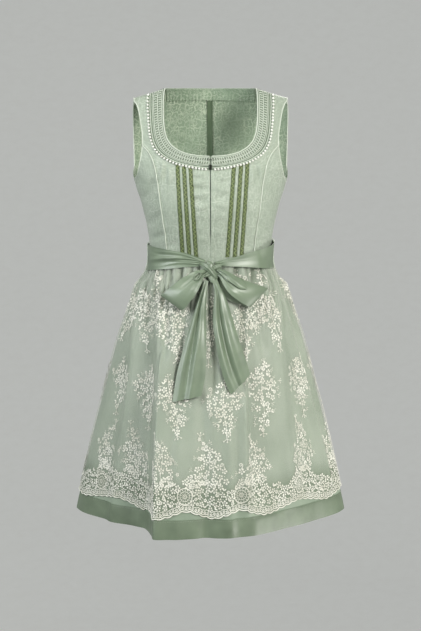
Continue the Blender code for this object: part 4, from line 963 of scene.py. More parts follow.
wire = speckled(
    "nickel_plated_wire", 900.0, 3.0, [(0.35, "#a3a79e"), (0.75, "#c9cdc4")], Metallic=1.0, Roughness=0.25
)
hook_z = -0.1475
face = front_surface(np.array([0.003]), np.array([hook_z]))[0, 1] - 0.0026
angles = np.linspace(0, 2 * math.pi, 13)[:-1]
wire_parts = []
for x, z in (
    (-0.0046, hook_z + 0.0016), (-0.0046, hook_z - 0.0016), (0.0046, hook_z + 0.0018),
    (0.0046, hook_z - 0.0018),
):
    eyelet = np.column_stack([x + 0.0011 * np.cos(angles), np.full(12, face), z + 0.0011 * np.sin(angles)])
    wire_parts.append(tube(eyelet, 0.00035, 6, closed=True))
bend = np.radians(np.linspace(-90, 90, 9))
bend_x, bend_z = np.cos(bend), np.sin(bend)
hook = np.column_stack([-0.003 + 0.0062 * bend_x, np.full(9, face - 0.0003), hook_z + 0.001 * bend_z])
hook = np.vstack([[-0.004, face, hook_z - 0.001], hook, [-0.004, face, hook_z + 0.001]])
wire_parts.append(tube(hook, 0.0004, 6))
loop = np.column_stack([0.0036 - 0.003 * bend_x, np.full(9, face + 0.0003), hook_z + 0.0017 * bend_z])
wire_parts.append(tube(loop, 0.0004, 6))
joined("hook_and_eye", wire_parts, wire)


# Form of the skirt.
# The folds that the skirt hangs in, from the same fold table as the solids, read eight times as finely,
# with the small folds that run down out of the gathered waist.
OVERLAY_WALL = 0.0012
OVERLAY_GAP = 0.0005
SKIRT_FOLDS = [  # hem turn, hem radius, waist turn, lace edge, columns
    (-90.0, 0.2935, -90.0, -0.861, 2), (-83.5, 0.28, -85.0, -0.8655, 2),
    (-70.0, 0.242, -76.0, -0.856, 2), (-60.0, 0.224, -69.0, -0.8505, 2),
    (-50.3, 0.213, -62.0, -0.859, 2), (-42.5, 0.214, -56.0, -0.8655, 1),
    (-36.5, 0.219, -53.0, -0.86, 1), (-30.7, 0.235, -51.0, -0.859, 1),
    (-25.8, 0.2455, -49.0, -0.8655, 1), (-20.5, 0.24, -45.0, -0.862, 2),
    (-12.0, 0.23, -28.0, -0.85, 3), (0.8, 0.225, 1.0, -0.8655, 3),
    (15.5, 0.2225, 31.0, -0.85, 2), (23.5, 0.2235, 44.0, -0.86, 1),
    (29.5, 0.2205, 52.0, -0.8655, 3), (43.0, 0.218, 64.0, -0.859, 3),
    (54.0, 0.2255, 73.0, -0.8505, 3), (66.0, 0.24, 80.0, -0.858, 2),
    (75.0, 0.26, 85.0, -0.8655, 2), (84.0, 0.283, 88.0, -0.858, 2),
    (90.0, 0.293, 90.0, -0.852, 2), (98.0, 0.294, 96.0, -0.86, 3),
    (112.0, 0.26, 106.0, -0.8655, 3), (124.0, 0.235, 118.0, -0.8505, 2),
    (136.0, 0.241, 130.0, -0.8655, 2), (146.0, 0.221, 141.0, -0.856, 2),
    (156.0, 0.235, 152.0, -0.8505, 3), (167.0, 0.216, 164.0, -0.8655, 3),
    (180.0, 0.231, 179.0, -0.8505, 3), (192.0, 0.217, 193.0, -0.8655, 3),
    (204.0, 0.237, 206.0, -0.8505, 2), (214.0, 0.222, 218.0, -0.86, 2),
    (226.0, 0.244, 231.0, -0.8655, 3), (244.0, 0.26, 248.0, -0.8505, 2),
    (258.0, 0.289, 262.0, -0.8655, 2), (270.0, 0.2935, 270.0, -0.861, 0),
]
RIGHT_SIDE_FOLD = 20  # the row of the fold table at the right side seam
SKIRT_SPREAD = [  # depth below the neck points, share of the way from the waist's outline to the hem's
    (0.358, 0.0), (0.3785, 0.012), (0.393, 0.07), (0.411, 0.16), (0.437, 0.222),
    (0.47, 0.29), (0.52, 0.408), (0.6, 0.54), (0.69, 0.692), (0.79, 0.843),
    (0.905, 1.0),
]
HEM_CENTRE_Y = 0.02  # the hem's outline lies this far back from the waist's
GATHER_ROWS = lengths([  # depth below the neck points, height of the gathers
    (358, 0), (378.5, 1.6), (393, 4.8), (411, 5.6), (437, 3.6), (470, 0),
])
BELT_EDGES = [  # turn, top, bottom
    (-354.7, -0.3548, -0.3632), (-329.0, -0.3431, -0.365), (-300.0, -0.327, -0.371),
    (-275.0, -0.3172, -0.3755), (-180.0, -0.3215, -0.377), (-88.0, -0.3243, -0.3785),
    (-55.0, -0.329, -0.373), (-27.0, -0.337, -0.366), (-6.3, -0.3509, -0.3632),
]
BELT_LIFT = lengths([  # depth below the neck points, distance out from the bodice and skirt
    (310, 2.4), (358, 2.7), (368, 4), (378.5, 6.5), (393, 18.8),
])
KNOT_CENTRE = (0.0008, -0.3745)
KNOT_HALF = (0.0118, 0.0105, 0.024)  # half width, half depth, half height
KNOT_LEAN = math.radians(12)
KNOT_SEAT = 0.4  # share of the half depth that is pressed flat against the sash
LOOP_LEFT = lengths([  # way along, x, z, half the strip's width in x and in z, distance from the skirt
    (0.0, -15, -373.5, 2, -5, 10), (0.12, -27, -385, 9.5, -10, 16.5), (0.26, -48, -406, 16.5, -13.5, 18.5),
    (0.42, -71, -429, 20.8, -14.2, 15), (0.47, -77.5, -435, 21.4, -14.1, 11.8),
    (0.5, -80, -437.5, 21.5, -14.1, 8), (0.53, -77.5, -435, 21.4, -14.1, 4.5),
    (0.58, -71, -429, 20.8, -14.2, 2.6), (0.74, -48, -406, 16.5, -13.5, 2.6),
    (0.88, -28, -386, 9.5, -10, 2.6), (1.0, -16.5, -374.5, 2.5, -5, 2.8),
], 1)
LOOP_RIGHT = lengths([  # way along, x, z, half the strip's width in x and in z, distance from the skirt
    (0.0, 16.5, -372, 2, 5, 10), (0.12, 30, -383, 8.5, 7.5, 17.5), (0.26, 53, -403, 15.5, 12, 20),
    (0.42, 88, -422, 18.5, 17.2, 16), (0.47, 96.5, -426.8, 18.6, 17.5, 12.2),
    (0.5, 99, -428.5, 18.5, 17.5, 8), (0.53, 95.5, -427.5, 18.6, 17.5, 4.5),
    (0.58, 85.5, -424, 18.8, 17.5, 2.6), (0.74, 56, -412, 18.5, 19, 2.6), (0.88, 33, -393, 11, 12, 2.6),
    (1.0, 18.5, -376.5, 2.5, 6, 2.8),
], 1)
TAIL_LEFT = lengths([  # way down, left edge x and z, right edge x and z, distance from the skirt, fold depth
    (0.0, -13, -397.5, -4, -400, 5, 0), (0.06, -19, -409, -7.5, -412, 5.8, 3),
    (0.22, -33, -455, -9.5, -456, 7, 6), (0.46, -49, -507, -8.5, -512, 7, 7),
    (0.74, -69, -583, -9.5, -569, 6.2, 6), (1.0, -77.5, -634, -18, -620, 5.2, 4),
], 1)
TAIL_RIGHT = lengths([  # way down, left edge x and z, right edge x and z, distance from the skirt, fold depth
    (0.0, 3.5, -400, 13, -396.5, 5, 0), (0.06, 7.5, -412, 23, -408, 5.8, 3),
    (0.22, 5, -465, 40, -452, 7, 7), (0.46, 12, -524, 56, -505, 7, 8), (0.74, 27, -586, 70, -545, 6.2, 6),
    (1.0, 41.1, -619, 80.7, -581.4, 5.2, 4),
], 1)


def waist_radius(turns):
    """Distance from the axis to the waist seam in each direction."""
    angle = np.radians(turns)
    front, back = body_depths(0.0, WAIST_Z)
    deep = np.where(np.cos(angle) >= 0, front, back)
    width = table_value(HALF_WIDTH, -WAIST_Z)
    sum_of_shares = (np.abs(np.sin(angle)) / width) ** ROUND + (np.abs(np.cos(angle)) / deep) ** ROUND
    return sum_of_shares ** (-1 / ROUND)


def skirt_points(columns, depth, lift):
    """Points on the skirt's main folds, for columns of the fold table, at a depth below the neck."""
    spread = table_value(SKIRT_SPREAD, depth)
    turns = columns[:, 2] + (columns[:, 0] - columns[:, 2]) * spread
    waist = waist_radius(turns)
    radius = waist + (columns[:, 1] - waist) * spread + lift
    angle = np.radians(turns)
    x = radius * np.sin(angle)
    y = HEM_CENTRE_Y * spread - radius * np.cos(angle)
    return np.stack([x, y, -depth + 0 * x], axis=-1)


def belt_points(turns, depth, lift):
    """Points round the waist, outside the bodice or the skirt's top."""
    angle = np.radians(turns)
    at = np.minimum(depth, -WAIST_Z)
    front, back = body_depths(np.zeros_like(at), -at)
    deep = np.where(np.cos(angle) >= 0, front, back)
    width = table_value(HALF_WIDTH, at)
    shares = (np.abs(np.sin(angle)) / width) ** ROUND + (np.abs(np.cos(angle)) / deep) ** ROUND
    radius = shares ** (-1 / ROUND) + table_value(BELT_LIFT, depth) + lift
    return np.stack([radius * np.sin(angle), -radius * np.cos(angle), -depth], axis=-1)


FINE = 8  # steps between two columns of the fold table
SMALL_FOLDS = [  # folds round the skirt, phase, height at the waist, height at the hem: metres
    (61, 0.4, 0.0016, 0.0), (43, 1.9, 0.0014, 0.0002), (29, 4.1, 0.0012, 0.0006),
]


def fold_columns():
    starts = np.concatenate([[0], np.cumsum([row[4] for row in SKIRT_FOLDS])[:-1]])
    rows = [(start, *row[:4]) for start, row in zip(starts, SKIRT_FOLDS)]
    count = int(starts[-1])
    return read_table(rows, np.linspace(0, count, FINE * count + 1)), FINE * int(starts[RIGHT_SIDE_FOLD])


def skirt_net(depths, columns, lift):
    """The skirt's surface at every depth (a row each, or a net) and column."""
    depths = np.broadcast_to(depths, (len(depths), len(columns)))
    lift = np.broadcast_to(lift, depths.shape)
    return np.stack([skirt_points(columns, d, l) for d, l in zip(depths, lift)])


def small_folds(depths, count):
    """How far the small folds stand out, at each depth and column."""
    run = np.linspace(0, 2 * math.pi, count)[None, :]
    down = np.clip((depths - 0.358) / 0.5, 0, 1)
    start = np.clip((depths - 0.358) / 0.02, 0, 1)
    rise = np.zeros(np.broadcast(depths, run).shape)
    for folds, phase, waist, hem in SMALL_FOLDS:
        wave = 0.5 + 0.5 * np.sin(folds * run + phase + 0.8 * np.sin(3 * run + phase))
        rise = rise + (waist * (1 - down) ** 2 + hem * down) * wave**1.6 * start
    return rise


HAND_FOLDS = {  # x and depth at the top, x and depth at the foot, rise, width to the left, to the right
    "front": lengths([
        (-97, 500, -106, 925, 6.5, 6, 26), (-126, 520, -140, 925, -4, 16, 10),
        (-148, 430, -206, 925, 4, 10, 18), (-56, 660, -66, 925, 3.4, 14, 20),
        (-18, 590, -14, 925, -3.6, 12, 16), (33, 660, 44, 900, 3, 14, 10), (68, 610, 77, 845, 4.6, 12, 6),
        (82, 430, 94, 845, -6, 5.6, 24), (130, 420, 160, 845, 4, 11, 15), (134, 400, 248, 830, 5, 6, 8),
        (148, 400, 264, 840, -4, 6, 8), (-86, 400, -90, 560, -4, 6, 8), (102, 400, 110, 540, -4, 7, 6),
        (-113, 395, -130, 500, -3.4, 6, 7), (-40, 400, -72, 620, -4.5, 8, 7), (0, 410, 2, 620, -5, 8, 8),
        (66, 400, 70, 600, -5.8, 5, 9), (-118, 335, -136, 430, -4, 2.6, 3),
        (-101, 335, -112, 400, -3.6, 2.2, 2.6), (-89, 335, -96, 450, -4.8, 2.6, 3.4),
        (-72, 335, -78, 400, -3.6, 2.4, 2.6), (-59, 335, -61, 420, -4.6, 2.6, 3.2),
        (50, 335, 52, 420, -4, 2.6, 2.8), (86, 335, 90, 450, -4.8, 2.8, 3.4),
        (101, 335, 108, 410, -3.8, 2.4, 2.8), (113, 335, 127, 440, -4.6, 2.6, 3),
        (124, 335, 142, 420, -3.6, 2.4, 2.6),
    ]),
    "back": lengths([
        (-110, 430, -150, 925, 5, 8, 20), (-62, 400, -82, 900, -4.8, 8, 12),
        (-34, 480, -38, 925, 4.2, 16, 9), (-6, 410, 4, 860, -4.4, 7, 11), (28, 520, 42, 925, 4.8, 14, 16),
        (64, 400, 90, 925, -5, 10, 7), (98, 450, 134, 925, 4.4, 11, 18), (128, 400, 194, 880, -4, 8, 10),
        (-130, 410, -208, 860, -4.2, 8, 10),
    ]),
}


def hand_folds(points):
    """The long soft folds listed for the hanging skirt: how far it stands out at each point."""
    rise = np.zeros(points.shape[:-1])
    x, depth = points[..., 0], -points[..., 2]
    for side, table in HAND_FOLDS.items():
        facing = np.clip((0.03 - points[..., 1]) / 0.05, 0, 1)
        facing = facing if side == "front" else 1 - facing
        for top_x, top, foot_x, foot, height, left_width, right_width in table:
            down = np.clip((depth - top) / (foot - top), 0, 1)
            off = x - (top_x + (foot_x - top_x) * down) - 0.004 * np.sin(3 * down + 40 * top_x)
            width = np.where(off < 0, left_width, right_width) * (0.75 + 0.5 * down)
            fade = np.clip((depth - top) / 0.06, 0, 1) * np.clip((foot + 0.03 - depth) / 0.05, 0, 1)
            rise += 2.0 * facing * fade * fade * (3 - 2 * fade) * height * np.exp(-((off / width) ** 2))
    return rise


fold_table, side_column = fold_columns()
SKIRT_PARTS = (("front", slice(0, side_column + 1)), ("back", slice(side_column, None)))
gather_phase = np.arange(len(fold_table)) / (2 * FINE)


# Underskirt and hem band.
# A cotton sateen underskirt, softly pleated into the waist, and the satin band that is sewn to its hem
# and turned up inside, with a fine seam along its top.
def streaked(tree, place, streaks, detail, patches, patch_detail, stops, tints):
    """A cloth's tone, in wide patches and fine lengthwise streaks, and the streaks' height."""
    stretched = add(tree, "Mapping", {"Vector": place, "Scale": streaks})
    fine = add(tree, "TexNoise", {"Vector": stretched, "Scale": 1.0, "Detail": detail})
    wide = add(tree, "TexNoise", {"Vector": place, "Scale": patches, "Detail": patch_detail})
    tone = add(tree, "ValToRGB", {"Fac": wide}, stops=stops)
    tint = add(tree, "MapRange", {"Value": fine, "To Min": tints[0], "To Max": tints[1]})
    return add(tree, "VectorMath", {0: tone, "Scale": tint}, operation="SCALE"), fine


sateen, tree, shader = surface("sage_cotton_sateen", Roughness=0.5, Sheen_Weight=0.25, Sheen_Roughness=0.4)
uv = add(tree, "UVMap", uv_map="cloth")
stops = [(0.35, "#8a9a86"), (0.65, "#98a793")]
shade, slub = streaked(tree, uv, (900.0, 60.0, 1.0), 2.0, 9.0, 3.0, stops, (0.94, 1.05))
finish(tree, shader, shade, slub, 0.00015, 0.4)


def satin(name, dark, light, rough):
    """Polyester satin: fine lengthwise floats that give it a soft streaked gloss."""
    made, tree, shader = surface(
        name, Roughness=rough, Anisotropic=0.4, Sheen_Weight=0.12, Sheen_Roughness=0.35,
        Specular_IOR_Level=1.0,
    )
    uv = add(tree, "UVMap", uv_map="cloth")
    stops = [(0.3, dark), (0.7, light)]
    shade, floats = streaked(tree, uv, (140.0, 1700.0, 1.0), 3.0, 24.0, 2.0, stops, (0.95, 1.05))
    finish(tree, shader, shade, floats, 0.0001, 0.35)
    return made


band_satin = satin("sage_hem_satin", "#66755f", "#77876f", 0.38)
depths = np.linspace(0, 1, 62)[:, None] ** 1.25 * (-BAND_TOP_Z - SKIRT_TOP) + SKIRT_TOP
PLEAT_FADE = [  # depth below the neck points, share of the pleats' full height
    (SKIRT_TOP, 0.0), (0.37, 0.55), (0.3785, 0.95), (0.393, 1.0), (0.411, 0.82), (0.437, 0.5),
    (0.47, 0.28), (0.54, 0.0),
]
pleat_count = round(1.55 * gather_phase[-1])
pleat_phase = gather_phase / gather_phase[-1]
pleat_phase = (
    pleat_count * pleat_phase + 0.3 * np.sin(2 * math.pi * 5 * pleat_phase)
    + 0.18 * np.sin(2 * math.pi * 13 * pleat_phase)
)
pleat_puff = np.abs(np.sin(math.pi * pleat_phase)) ** 0.85
pleat_height = pleat_puff * (0.014 + 0.0026 * np.sin(2.3 * np.floor(pleat_phase)))
pleats = table_value(PLEAT_FADE, depths) * (pleat_height - 0.0105)
under_lift = pleats + hand_folds(skirt_net(depths, fold_table, 0.0))


def pinched(depths, lift):
    """The skirt with the sides of its gathers drawn together over the hollows between them."""
    points = skirt_net(depths, fold_table, lift)
    across = np.gradient(skirt_net(depths, fold_table, 0.0), axis=1)
    across /= np.linalg.norm(across, axis=-1, keepdims=True)
    shift = 0.0019 * table_value(PLEAT_FADE, depths) * np.sin(2 * math.pi * pleat_phase)
    return points - across * np.broadcast_to(shift, points.shape[:2])[..., None]


under = pinched(depths, under_lift)
under_in = pinched(depths, under_lift - 0.0007)
flat_across = np.linspace(0, 1.66, len(fold_table))[None, :]
for part, cut in SKIRT_PARTS:
    flat = np.stack([flat_across[:, cut] + 0 * depths, -depths + 0 * flat_across[:, cut]], axis=-1)
    skirt = shell(f"underskirt_{part}_sateen", under[:, cut], under_in[:, cut], flat, [sateen])
    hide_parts(f"underskirt_{part}")

depths = np.linspace(-BAND_TOP_Z, -HEM_Z, 13)[:, None]
down = (depths + BAND_TOP_Z) / (BAND_TOP_Z - HEM_Z)
roll = 0.0007 * np.sin(math.pi * np.clip(down, 0, 1)) ** 0.5
band_folds = hand_folds(skirt_net(depths, fold_table, 0.0))
band_out = skirt_net(depths, fold_table, roll + band_folds)
band_in = skirt_net(depths, fold_table, band_folds - 0.0008 - 0.4 * roll)
for part, cut in SKIRT_PARTS:
    flat = np.stack([flat_across[:, cut] + 0 * depths, -depths + 0 * flat_across[:, cut]], axis=-1)
    band = shell(f"hem_band_{part}_satin", band_out[:, cut], band_in[:, cut], flat, [band_satin])
    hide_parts(f"hem_band_{part}")
row = band_out[1]
out = row - row.mean(axis=0)
out /= np.linalg.norm(out, axis=1, keepdims=True)
band_seams = stitches(row + out * 0.0002, out, 0.0026, 0.001, 0.00025)
joined("hem_band_topstitching", band_seams, thread)
# A dark cord along the band's top seam: painted shade under the band's edge.
seam_shadow_row = band_out[0] + out * 0.0003
joined("hem_band_seam_shadow", [tube(resample(seam_shadow_row, 0.004), 0.0006, 4)], dark_thread_and_painted_shade)


# Embroidered tulle overlay.
# A cream nylon net, gathered into the waist with the underskirt and cut along the small scallops of the
# embroidery at its lower edge. It is drawn as an open net, one face thick, since it is see-through.
SCALLOP = 0.017  # length of one small scallop of the edge
edge_depth = -fold_table[:, 3]
edge_net = skirt_net(edge_depth[None, :], fold_table, 0.0)[0]
edge_run = np.concatenate([[0], np.cumsum(np.linalg.norm(np.diff(edge_net, axis=0), axis=1))])
scallops = round(edge_run[-1] / SCALLOP)
scallop_wave = np.abs(np.sin(math.pi * edge_run / edge_run[-1] * scallops))
edge_depth = edge_depth - 0.0022 + 0.003 * scallop_wave**0.8

NET_ROWS = 96
share = np.linspace(0, 1, NET_ROWS)[:, None]
share = share * 0.75 + 0.25 * share**1.5
net_depths = SKIRT_TOP + (edge_depth[None, :] - SKIRT_TOP) * share
net_lift = OVERLAY_GAP + 0.0006 + table_value(PLEAT_FADE, net_depths) * (pleat_height - 0.0099)
seam_off = np.minimum(np.abs(np.abs(fold_table[:, 0]) - 90), np.abs(fold_table[:, 0] - 270))
net_lift = net_lift + 0.0024 * np.exp(-((seam_off / 9) ** 2)) * np.clip((net_depths - 0.4) / 0.06, 0, 1)
net_lift = (
    net_lift + small_folds(net_depths, len(fold_table)) + hand_folds(skirt_net(net_depths, fold_table, 0.0))
)
net = pinched(net_depths, net_lift)

tulle, tree, shader = surface("cream_nylon_tulle", Roughness=0.6, Sheen_Weight=0.2, Sheen_Roughness=0.3)
shader.inputs["Sheen Tint"].default_value = linear("#f2f4ec")
uv = add(tree, "UVMap", uv_map="cloth")
mesh_of_net = {"Vector": uv, "Scale": 780.0, "Randomness": 0.25}
holes = add(tree, "TexVoronoi", mesh_of_net, voronoi_dimensions="2D", feature="DISTANCE_TO_EDGE")
threads = add(
    tree, "MapRange", {"Value": holes, "From Min": 0.05, "From Max": 0.13, "To Min": 0.66, "To Max": 0.06}
)
cloud = add(tree, "TexNoise", {"Vector": uv, "Scale": 14.0, "Detail": 3.0})
tone = add(tree, "ValToRGB", {"Fac": cloud}, stops=[(0.35, "#d3d8cb"), (0.65, "#e2e5da")])
drop = add(tree, "SeparateXYZ", {0: uv}).outputs["Y"]
stitched = add(tree, "MapRange", {"Value": drop, "From Min": -0.785, "From Max": -0.815})
shade = add(tree, "Mix", {"Factor": stitched, 6: tone, 7: linear("#8d9681")}, data_type="RGBA")
finish(tree, shader, shade.outputs[2])
tree.links.new(output(threads), shader.inputs["Alpha"])

for part, cut in SKIRT_PARTS:
    flat = np.stack([flat_across[:, cut] + 0 * share, -net_depths[:, cut]], axis=-1)
    spots = net[:, cut]
    index = np.arange(spots[..., 0].size).reshape(spots.shape[:2])
    overlay = piece_of(
        f"overlay_{part}_tulle", spots, quads_of(index)[:, ::-1].tolist(), [tulle], flat
    )
    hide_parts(f"overlay_{part}")


# Embroidery on the tulle.
# Machine embroidery in thick cream rayon: hanging sprays of small flowers in two tiers, tall sprays
# rising from a dense flowered border, round medallions and a corded edge. The layout is generic.
net_step = np.linalg.norm(np.diff(net, axis=1), axis=-1)
net_run = np.concatenate([np.zeros((NET_ROWS, 1)), np.cumsum(net_step, axis=1)], axis=1)
front_middle = int(np.argmin(np.abs(fold_table[: side_column + 1, 0])))
net_run = net_run - net_run[:, front_middle : front_middle + 1]
net_out = np.cross(np.gradient(net, axis=1), np.gradient(net, axis=0))
net_out /= np.maximum(np.linalg.norm(net_out, axis=-1, keepdims=True), 1e-12)
net_out *= np.sign(np.sum(net_out * (net * np.array([1, 1, 0])), axis=-1, keepdims=True))
row_share = share[:, 0]


def on_net(run, share_down, rise, along_row):
    """Points on the net by run along one of its rows, share of the way down, and height over it."""
    row = np.interp(share_down, row_share, np.arange(NET_ROWS))
    low = np.clip(np.floor(row).astype(int), 0, NET_ROWS - 2)
    part = row - low
    column = np.interp(run, net_run[along_row], np.arange(net.shape[1]))
    left = np.clip(np.floor(column).astype(int), 0, net.shape[1] - 2)
    beyond = (column - left)[:, None]
    part = part[:, None]
    found = []
    for table in (net, net_out):
        upper = table[low, left] * (1 - beyond) + table[low, left + 1] * beyond
        lower = table[low + 1, left] * (1 - beyond) + table[low + 1, left + 1] * beyond
        found.append(upper * (1 - part) + lower * part)
    return found[0] + found[1] * rise[:, None]


rng = np.random.default_rng(7)
PETAL = [(0.26, 0.0), (0.48, -0.23), (0.8, -0.32), (1.0, -0.13), (1.0, 0.13), (0.8, 0.32), (0.48, 0.23)]
LEAF = [(0.0, 0.0), (0.25, -0.19), (0.6, -0.21), (1.0, 0.0), (0.6, 0.21), (0.25, 0.19)]


def fan(outline, middle, rise):
    """A small domed patch of stitches: its outline and a raised middle."""
    points = [(x, y, 0.15 * rise) for x, y in outline] + [(middle, 0.0, rise)]
    return np.array(points), [(i, (i + 1) % len(outline), len(outline)) for i in range(len(outline))]


def swung(shape, angle):
    """The shape turned round its root."""
    cos, sin = math.cos(angle), math.sin(angle)
    return shape[0] @ np.array([[cos, sin, 0], [-sin, cos, 0], [0, 0, 1]]), shape[1]


def placed(shape, scale, at=(0, 0, 0)):
    """The shape at another size and place."""
    return shape[0] * np.array(scale) + np.array(at), shape[1]


def with_more(*shapes):
    """Several shapes as one."""
    points, faces, start = [], [], 0
    for some_points, some_faces in shapes:
        faces += [tuple(start + i for i in face) for face in some_faces]
        start += len(some_points)
        points.append(some_points)
    return np.concatenate(points), faces


def ring_of(shape, count):
    """The shape repeated round a centre."""
    return with_more(*[swung(shape, 2 * math.pi * k / count) for k in range(count)])


def spots_round(radius, step, stop=360):
    """Places round a centre, so many degrees apart."""
    return [(radius * math.cos(a), radius * math.sin(a)) for a in np.radians(range(0, stop, step))]


def band_line(path, width, rise):
    """A flat raised line of stitches along a path on the net."""
    path = np.asarray(path, float)
    along_path = np.gradient(path, axis=0)
    aside = np.stack([-along_path[:, 1], along_path[:, 0]], axis=1)
    aside /= np.maximum(np.linalg.norm(aside, axis=1, keepdims=True), 1e-9)
    width = np.broadcast_to(width, len(path))[:, None]
    n = len(path)
    rows = ((-0.5, 0.0), (0, rise), (0.5, 0.0))
    points = np.concatenate([np.column_stack([path + aside * width * s, np.full(n, r)]) for s, r in rows])
    faces = []
    for i in range(n - 1):
        faces.append((i, i + 1, n + i + 1, n + i))
        faces.append((n + i, n + i + 1, 2 * n + i + 1, 2 * n + i))
    return points, faces


def curl(turns):
    """A stem that ends in a spiral."""
    angle = np.linspace(0, 2 * math.pi * turns, 16)
    radius = np.linspace(0.5, 0.12, 16)
    path = np.column_stack([radius * np.cos(angle) - 0.5, radius * np.sin(angle)])
    stem = np.column_stack([np.zeros(4), np.linspace(-0.9, 0, 5)[:4]])
    return band_line(np.vstack([stem, path]), 0.17, 0.09)


bud = fan(spots_round(0.5, 60), 0.0, 0.35)
flower = with_more(ring_of(fan(PETAL, 0.65, 0.16), 5), placed(bud, (0.3, 0.3, 0.5)))
blossom = ring_of(fan([(0.12, 0.0), (0.6, -0.38), (1.0, 0.0), (0.6, 0.38)], 0.6, 0.2), 5)
leaf = fan(LEAF, 0.5, 0.16)
leaf_pair = with_more(swung(leaf, 0.6), swung(leaf, -0.6))
twig = with_more(
    band_line([(0, 0), (0.5, 0.04), (1.0, 0.0)], 0.09, 0.06),
    band_line([(0.45, 0.0), (0.7, 0.25), (0.85, 0.5)], 0.08, 0.06),
    band_line([(0.45, 0.0), (0.7, -0.25), (0.85, -0.5)], 0.08, 0.06),
    *[placed(bud, (0.26, 0.26, 0.35), (x, y, 0)) for x, y in ((1.05, 0), (0.9, 0.56), (0.9, -0.56))],
)
curls = curl(1.25)
spokes = zip(spots_round(0.24, 30), spots_round(0.6, 30))
medallion = with_more(
    band_line(spots_round(1.0, 12, 361), 0.13, 0.05),
    band_line(spots_round(0.62, 15, 361), 0.08, 0.04),
    band_line(spots_round(0.22, 30, 361), 0.09, 0.04),
    *[band_line(spoke, 0.05, 0.03) for spoke in spokes],
    *[placed(bud, (0.15, 0.15, 0.12), (x, y, 0)) for x, y in spots_round(0.82, 24)],
    placed(bud, (0.2, 0.2, 0.15)),
)


def sew(store, shape, run, depth, turn, size):
    """Lays a shape on the net: turned, scaled, its middle at a run from the centre front and a depth."""
    cos, sin = math.cos(turn), math.sin(turn)
    x, y = shape[0][:, 0] * size, shape[0][:, 1] * size
    laid = [run + x * cos - y * sin, depth - x * sin - y * cos, shape[0][:, 2] * size]
    store.append((np.column_stack(laid), shape[1]))


def edge_at(run):
    """Depth of the scalloped edge at a run from the centre front."""
    return np.interp(run, net_run[-1], edge_depth)


def row_at(depth):
    """The net's row at a depth on the centre front."""
    return int(np.clip(np.searchsorted(net_depths[:, front_middle], depth), 0, NET_ROWS - 1))


def run_at(x, depth, along_row=-1):
    """The run along a row to below or above the point on the front at this depth, x from the middle."""
    here = slice(0, side_column + 1)
    return float(np.interp(x, np.maximum.accumulate(net[row_at(depth), here, 0]), net_run[along_row, here]))


SMALL_SHAPES = [  # shape, size, clear distance round its middle, tries to place it
    ("flower", flower, 0.0061, 0.0053, 260), ("blossom", blossom, 0.0045, 0.0037, 180),
    ("leaves", leaf_pair, 0.0072, 0.0031, 460), ("bud", bud, 0.002, 0.002, 160),
]


def scatter(store, inside, low, high, away_from, taken=()):
    """Sews small shapes inside an outline, the large ones first, each clear of those before it."""
    taken = [tuple(row) for row in taken]
    for kind, shape, size, clear, tries in SMALL_SHAPES:
        for run, depth in rng.uniform(low, high, (tries, 2)):
            if not inside(run, depth, 0.35 * clear):
                continue
            if any((run - a) ** 2 + (depth - b) ** 2 < (clear + c) ** 2 for a, b, c in taken):
                continue
            taken.append((run, depth, clear))
            turn = rng.uniform(0, 6.28)
            if kind == "leaves":
                turn = math.atan2(away_from[1] - depth, run - away_from[0]) + rng.uniform(-0.5, 0.5)
            sew(store, shape, run, depth, turn, size * rng.uniform(0.9, 1.08))
    return taken


def spray(store, run, top, bottom, width, up=False):
    """A spray of flowers and leaves on a bent stem, inside a ragged outline, with twigs at its rim."""
    length = bottom - top
    lean, sway, hook = rng.uniform(-0.14, 0.14), rng.uniform(0, 6.28), rng.choice([-1, 1])
    places = [0, 0.12, 0.3, 0.5, 0.7, 0.88, 1]
    widths = [0.1, 0.2, 0.46, 0.72, 0.95, 1.0, 0.9] if up else [0.3, 0.72, 1.0, 0.86, 0.62, 0.36, 0.16]

    def half_at(t):
        ragged = 1 + 0.2 * math.sin(11 * t + sway) + 0.16 * math.sin(27 * t + 2 * sway)
        return width / 2 * float(np.interp(t, places, widths)) * ragged

    def middle_at(t):
        bend = hook * 0.016 * max(0.3 - t, 0) ** 2 / 0.09 if up else 0.0
        return run + lean * length * (t - 0.5) + 0.006 * math.sin(5 * t + sway) + bend

    def inside(at, depth, margin):
        t = (depth - top) / length
        return 0 <= t <= 1 and abs(at - middle_at(t)) < max(half_at(t) - margin, 0.002)

    reach = width * 0.62 + abs(lean) * length / 2 + 0.016
    scatter(store, inside, (run - reach, top), (run + reach, bottom), (middle_at(0.7), top + 0.75 * length))
    for t in np.arange(0.1, 0.94, 0.0135 / length):
        for way in (-1, 1):
            if rng.random() < 0.62:
                turn = (0.3 if up else -0.45) + rng.uniform(-0.45, 0.45)
                turn = turn if way > 0 else math.pi - turn
                sew(
                    store, twig, middle_at(t) + way * (half_at(t) + 0.0005), top + length * t, turn,
                    rng.uniform(0.0065, 0.009),
                )
    for way in (-1, 1):
        t = rng.uniform(0.35, 0.6) if up else rng.uniform(0.1, 0.3)
        if rng.random() < 0.8:
            sew(
                store, curls, middle_at(t) + way * (half_at(t) + 0.009), top + length * t, 0.3 * way,
                0.0085 * rng.uniform(0.85, 1.1),
            )
    tip = 0.0 if up else 1.0
    sew(
        store, twig, middle_at(tip), top + length * tip, (1.57 if up else -1.57) + rng.uniform(-0.2, 0.2),
        0.012,
    )
    if not up:
        sew(store, twig, middle_at(0.0), top, 1.57 + rng.uniform(-0.3, 0.3), 0.009)
    stem = [(middle_at(t), top + length * t) for t in np.linspace(0.0, 1.0, 24)]
    store.append(band_line(stem, 0.0009, 0.0004))


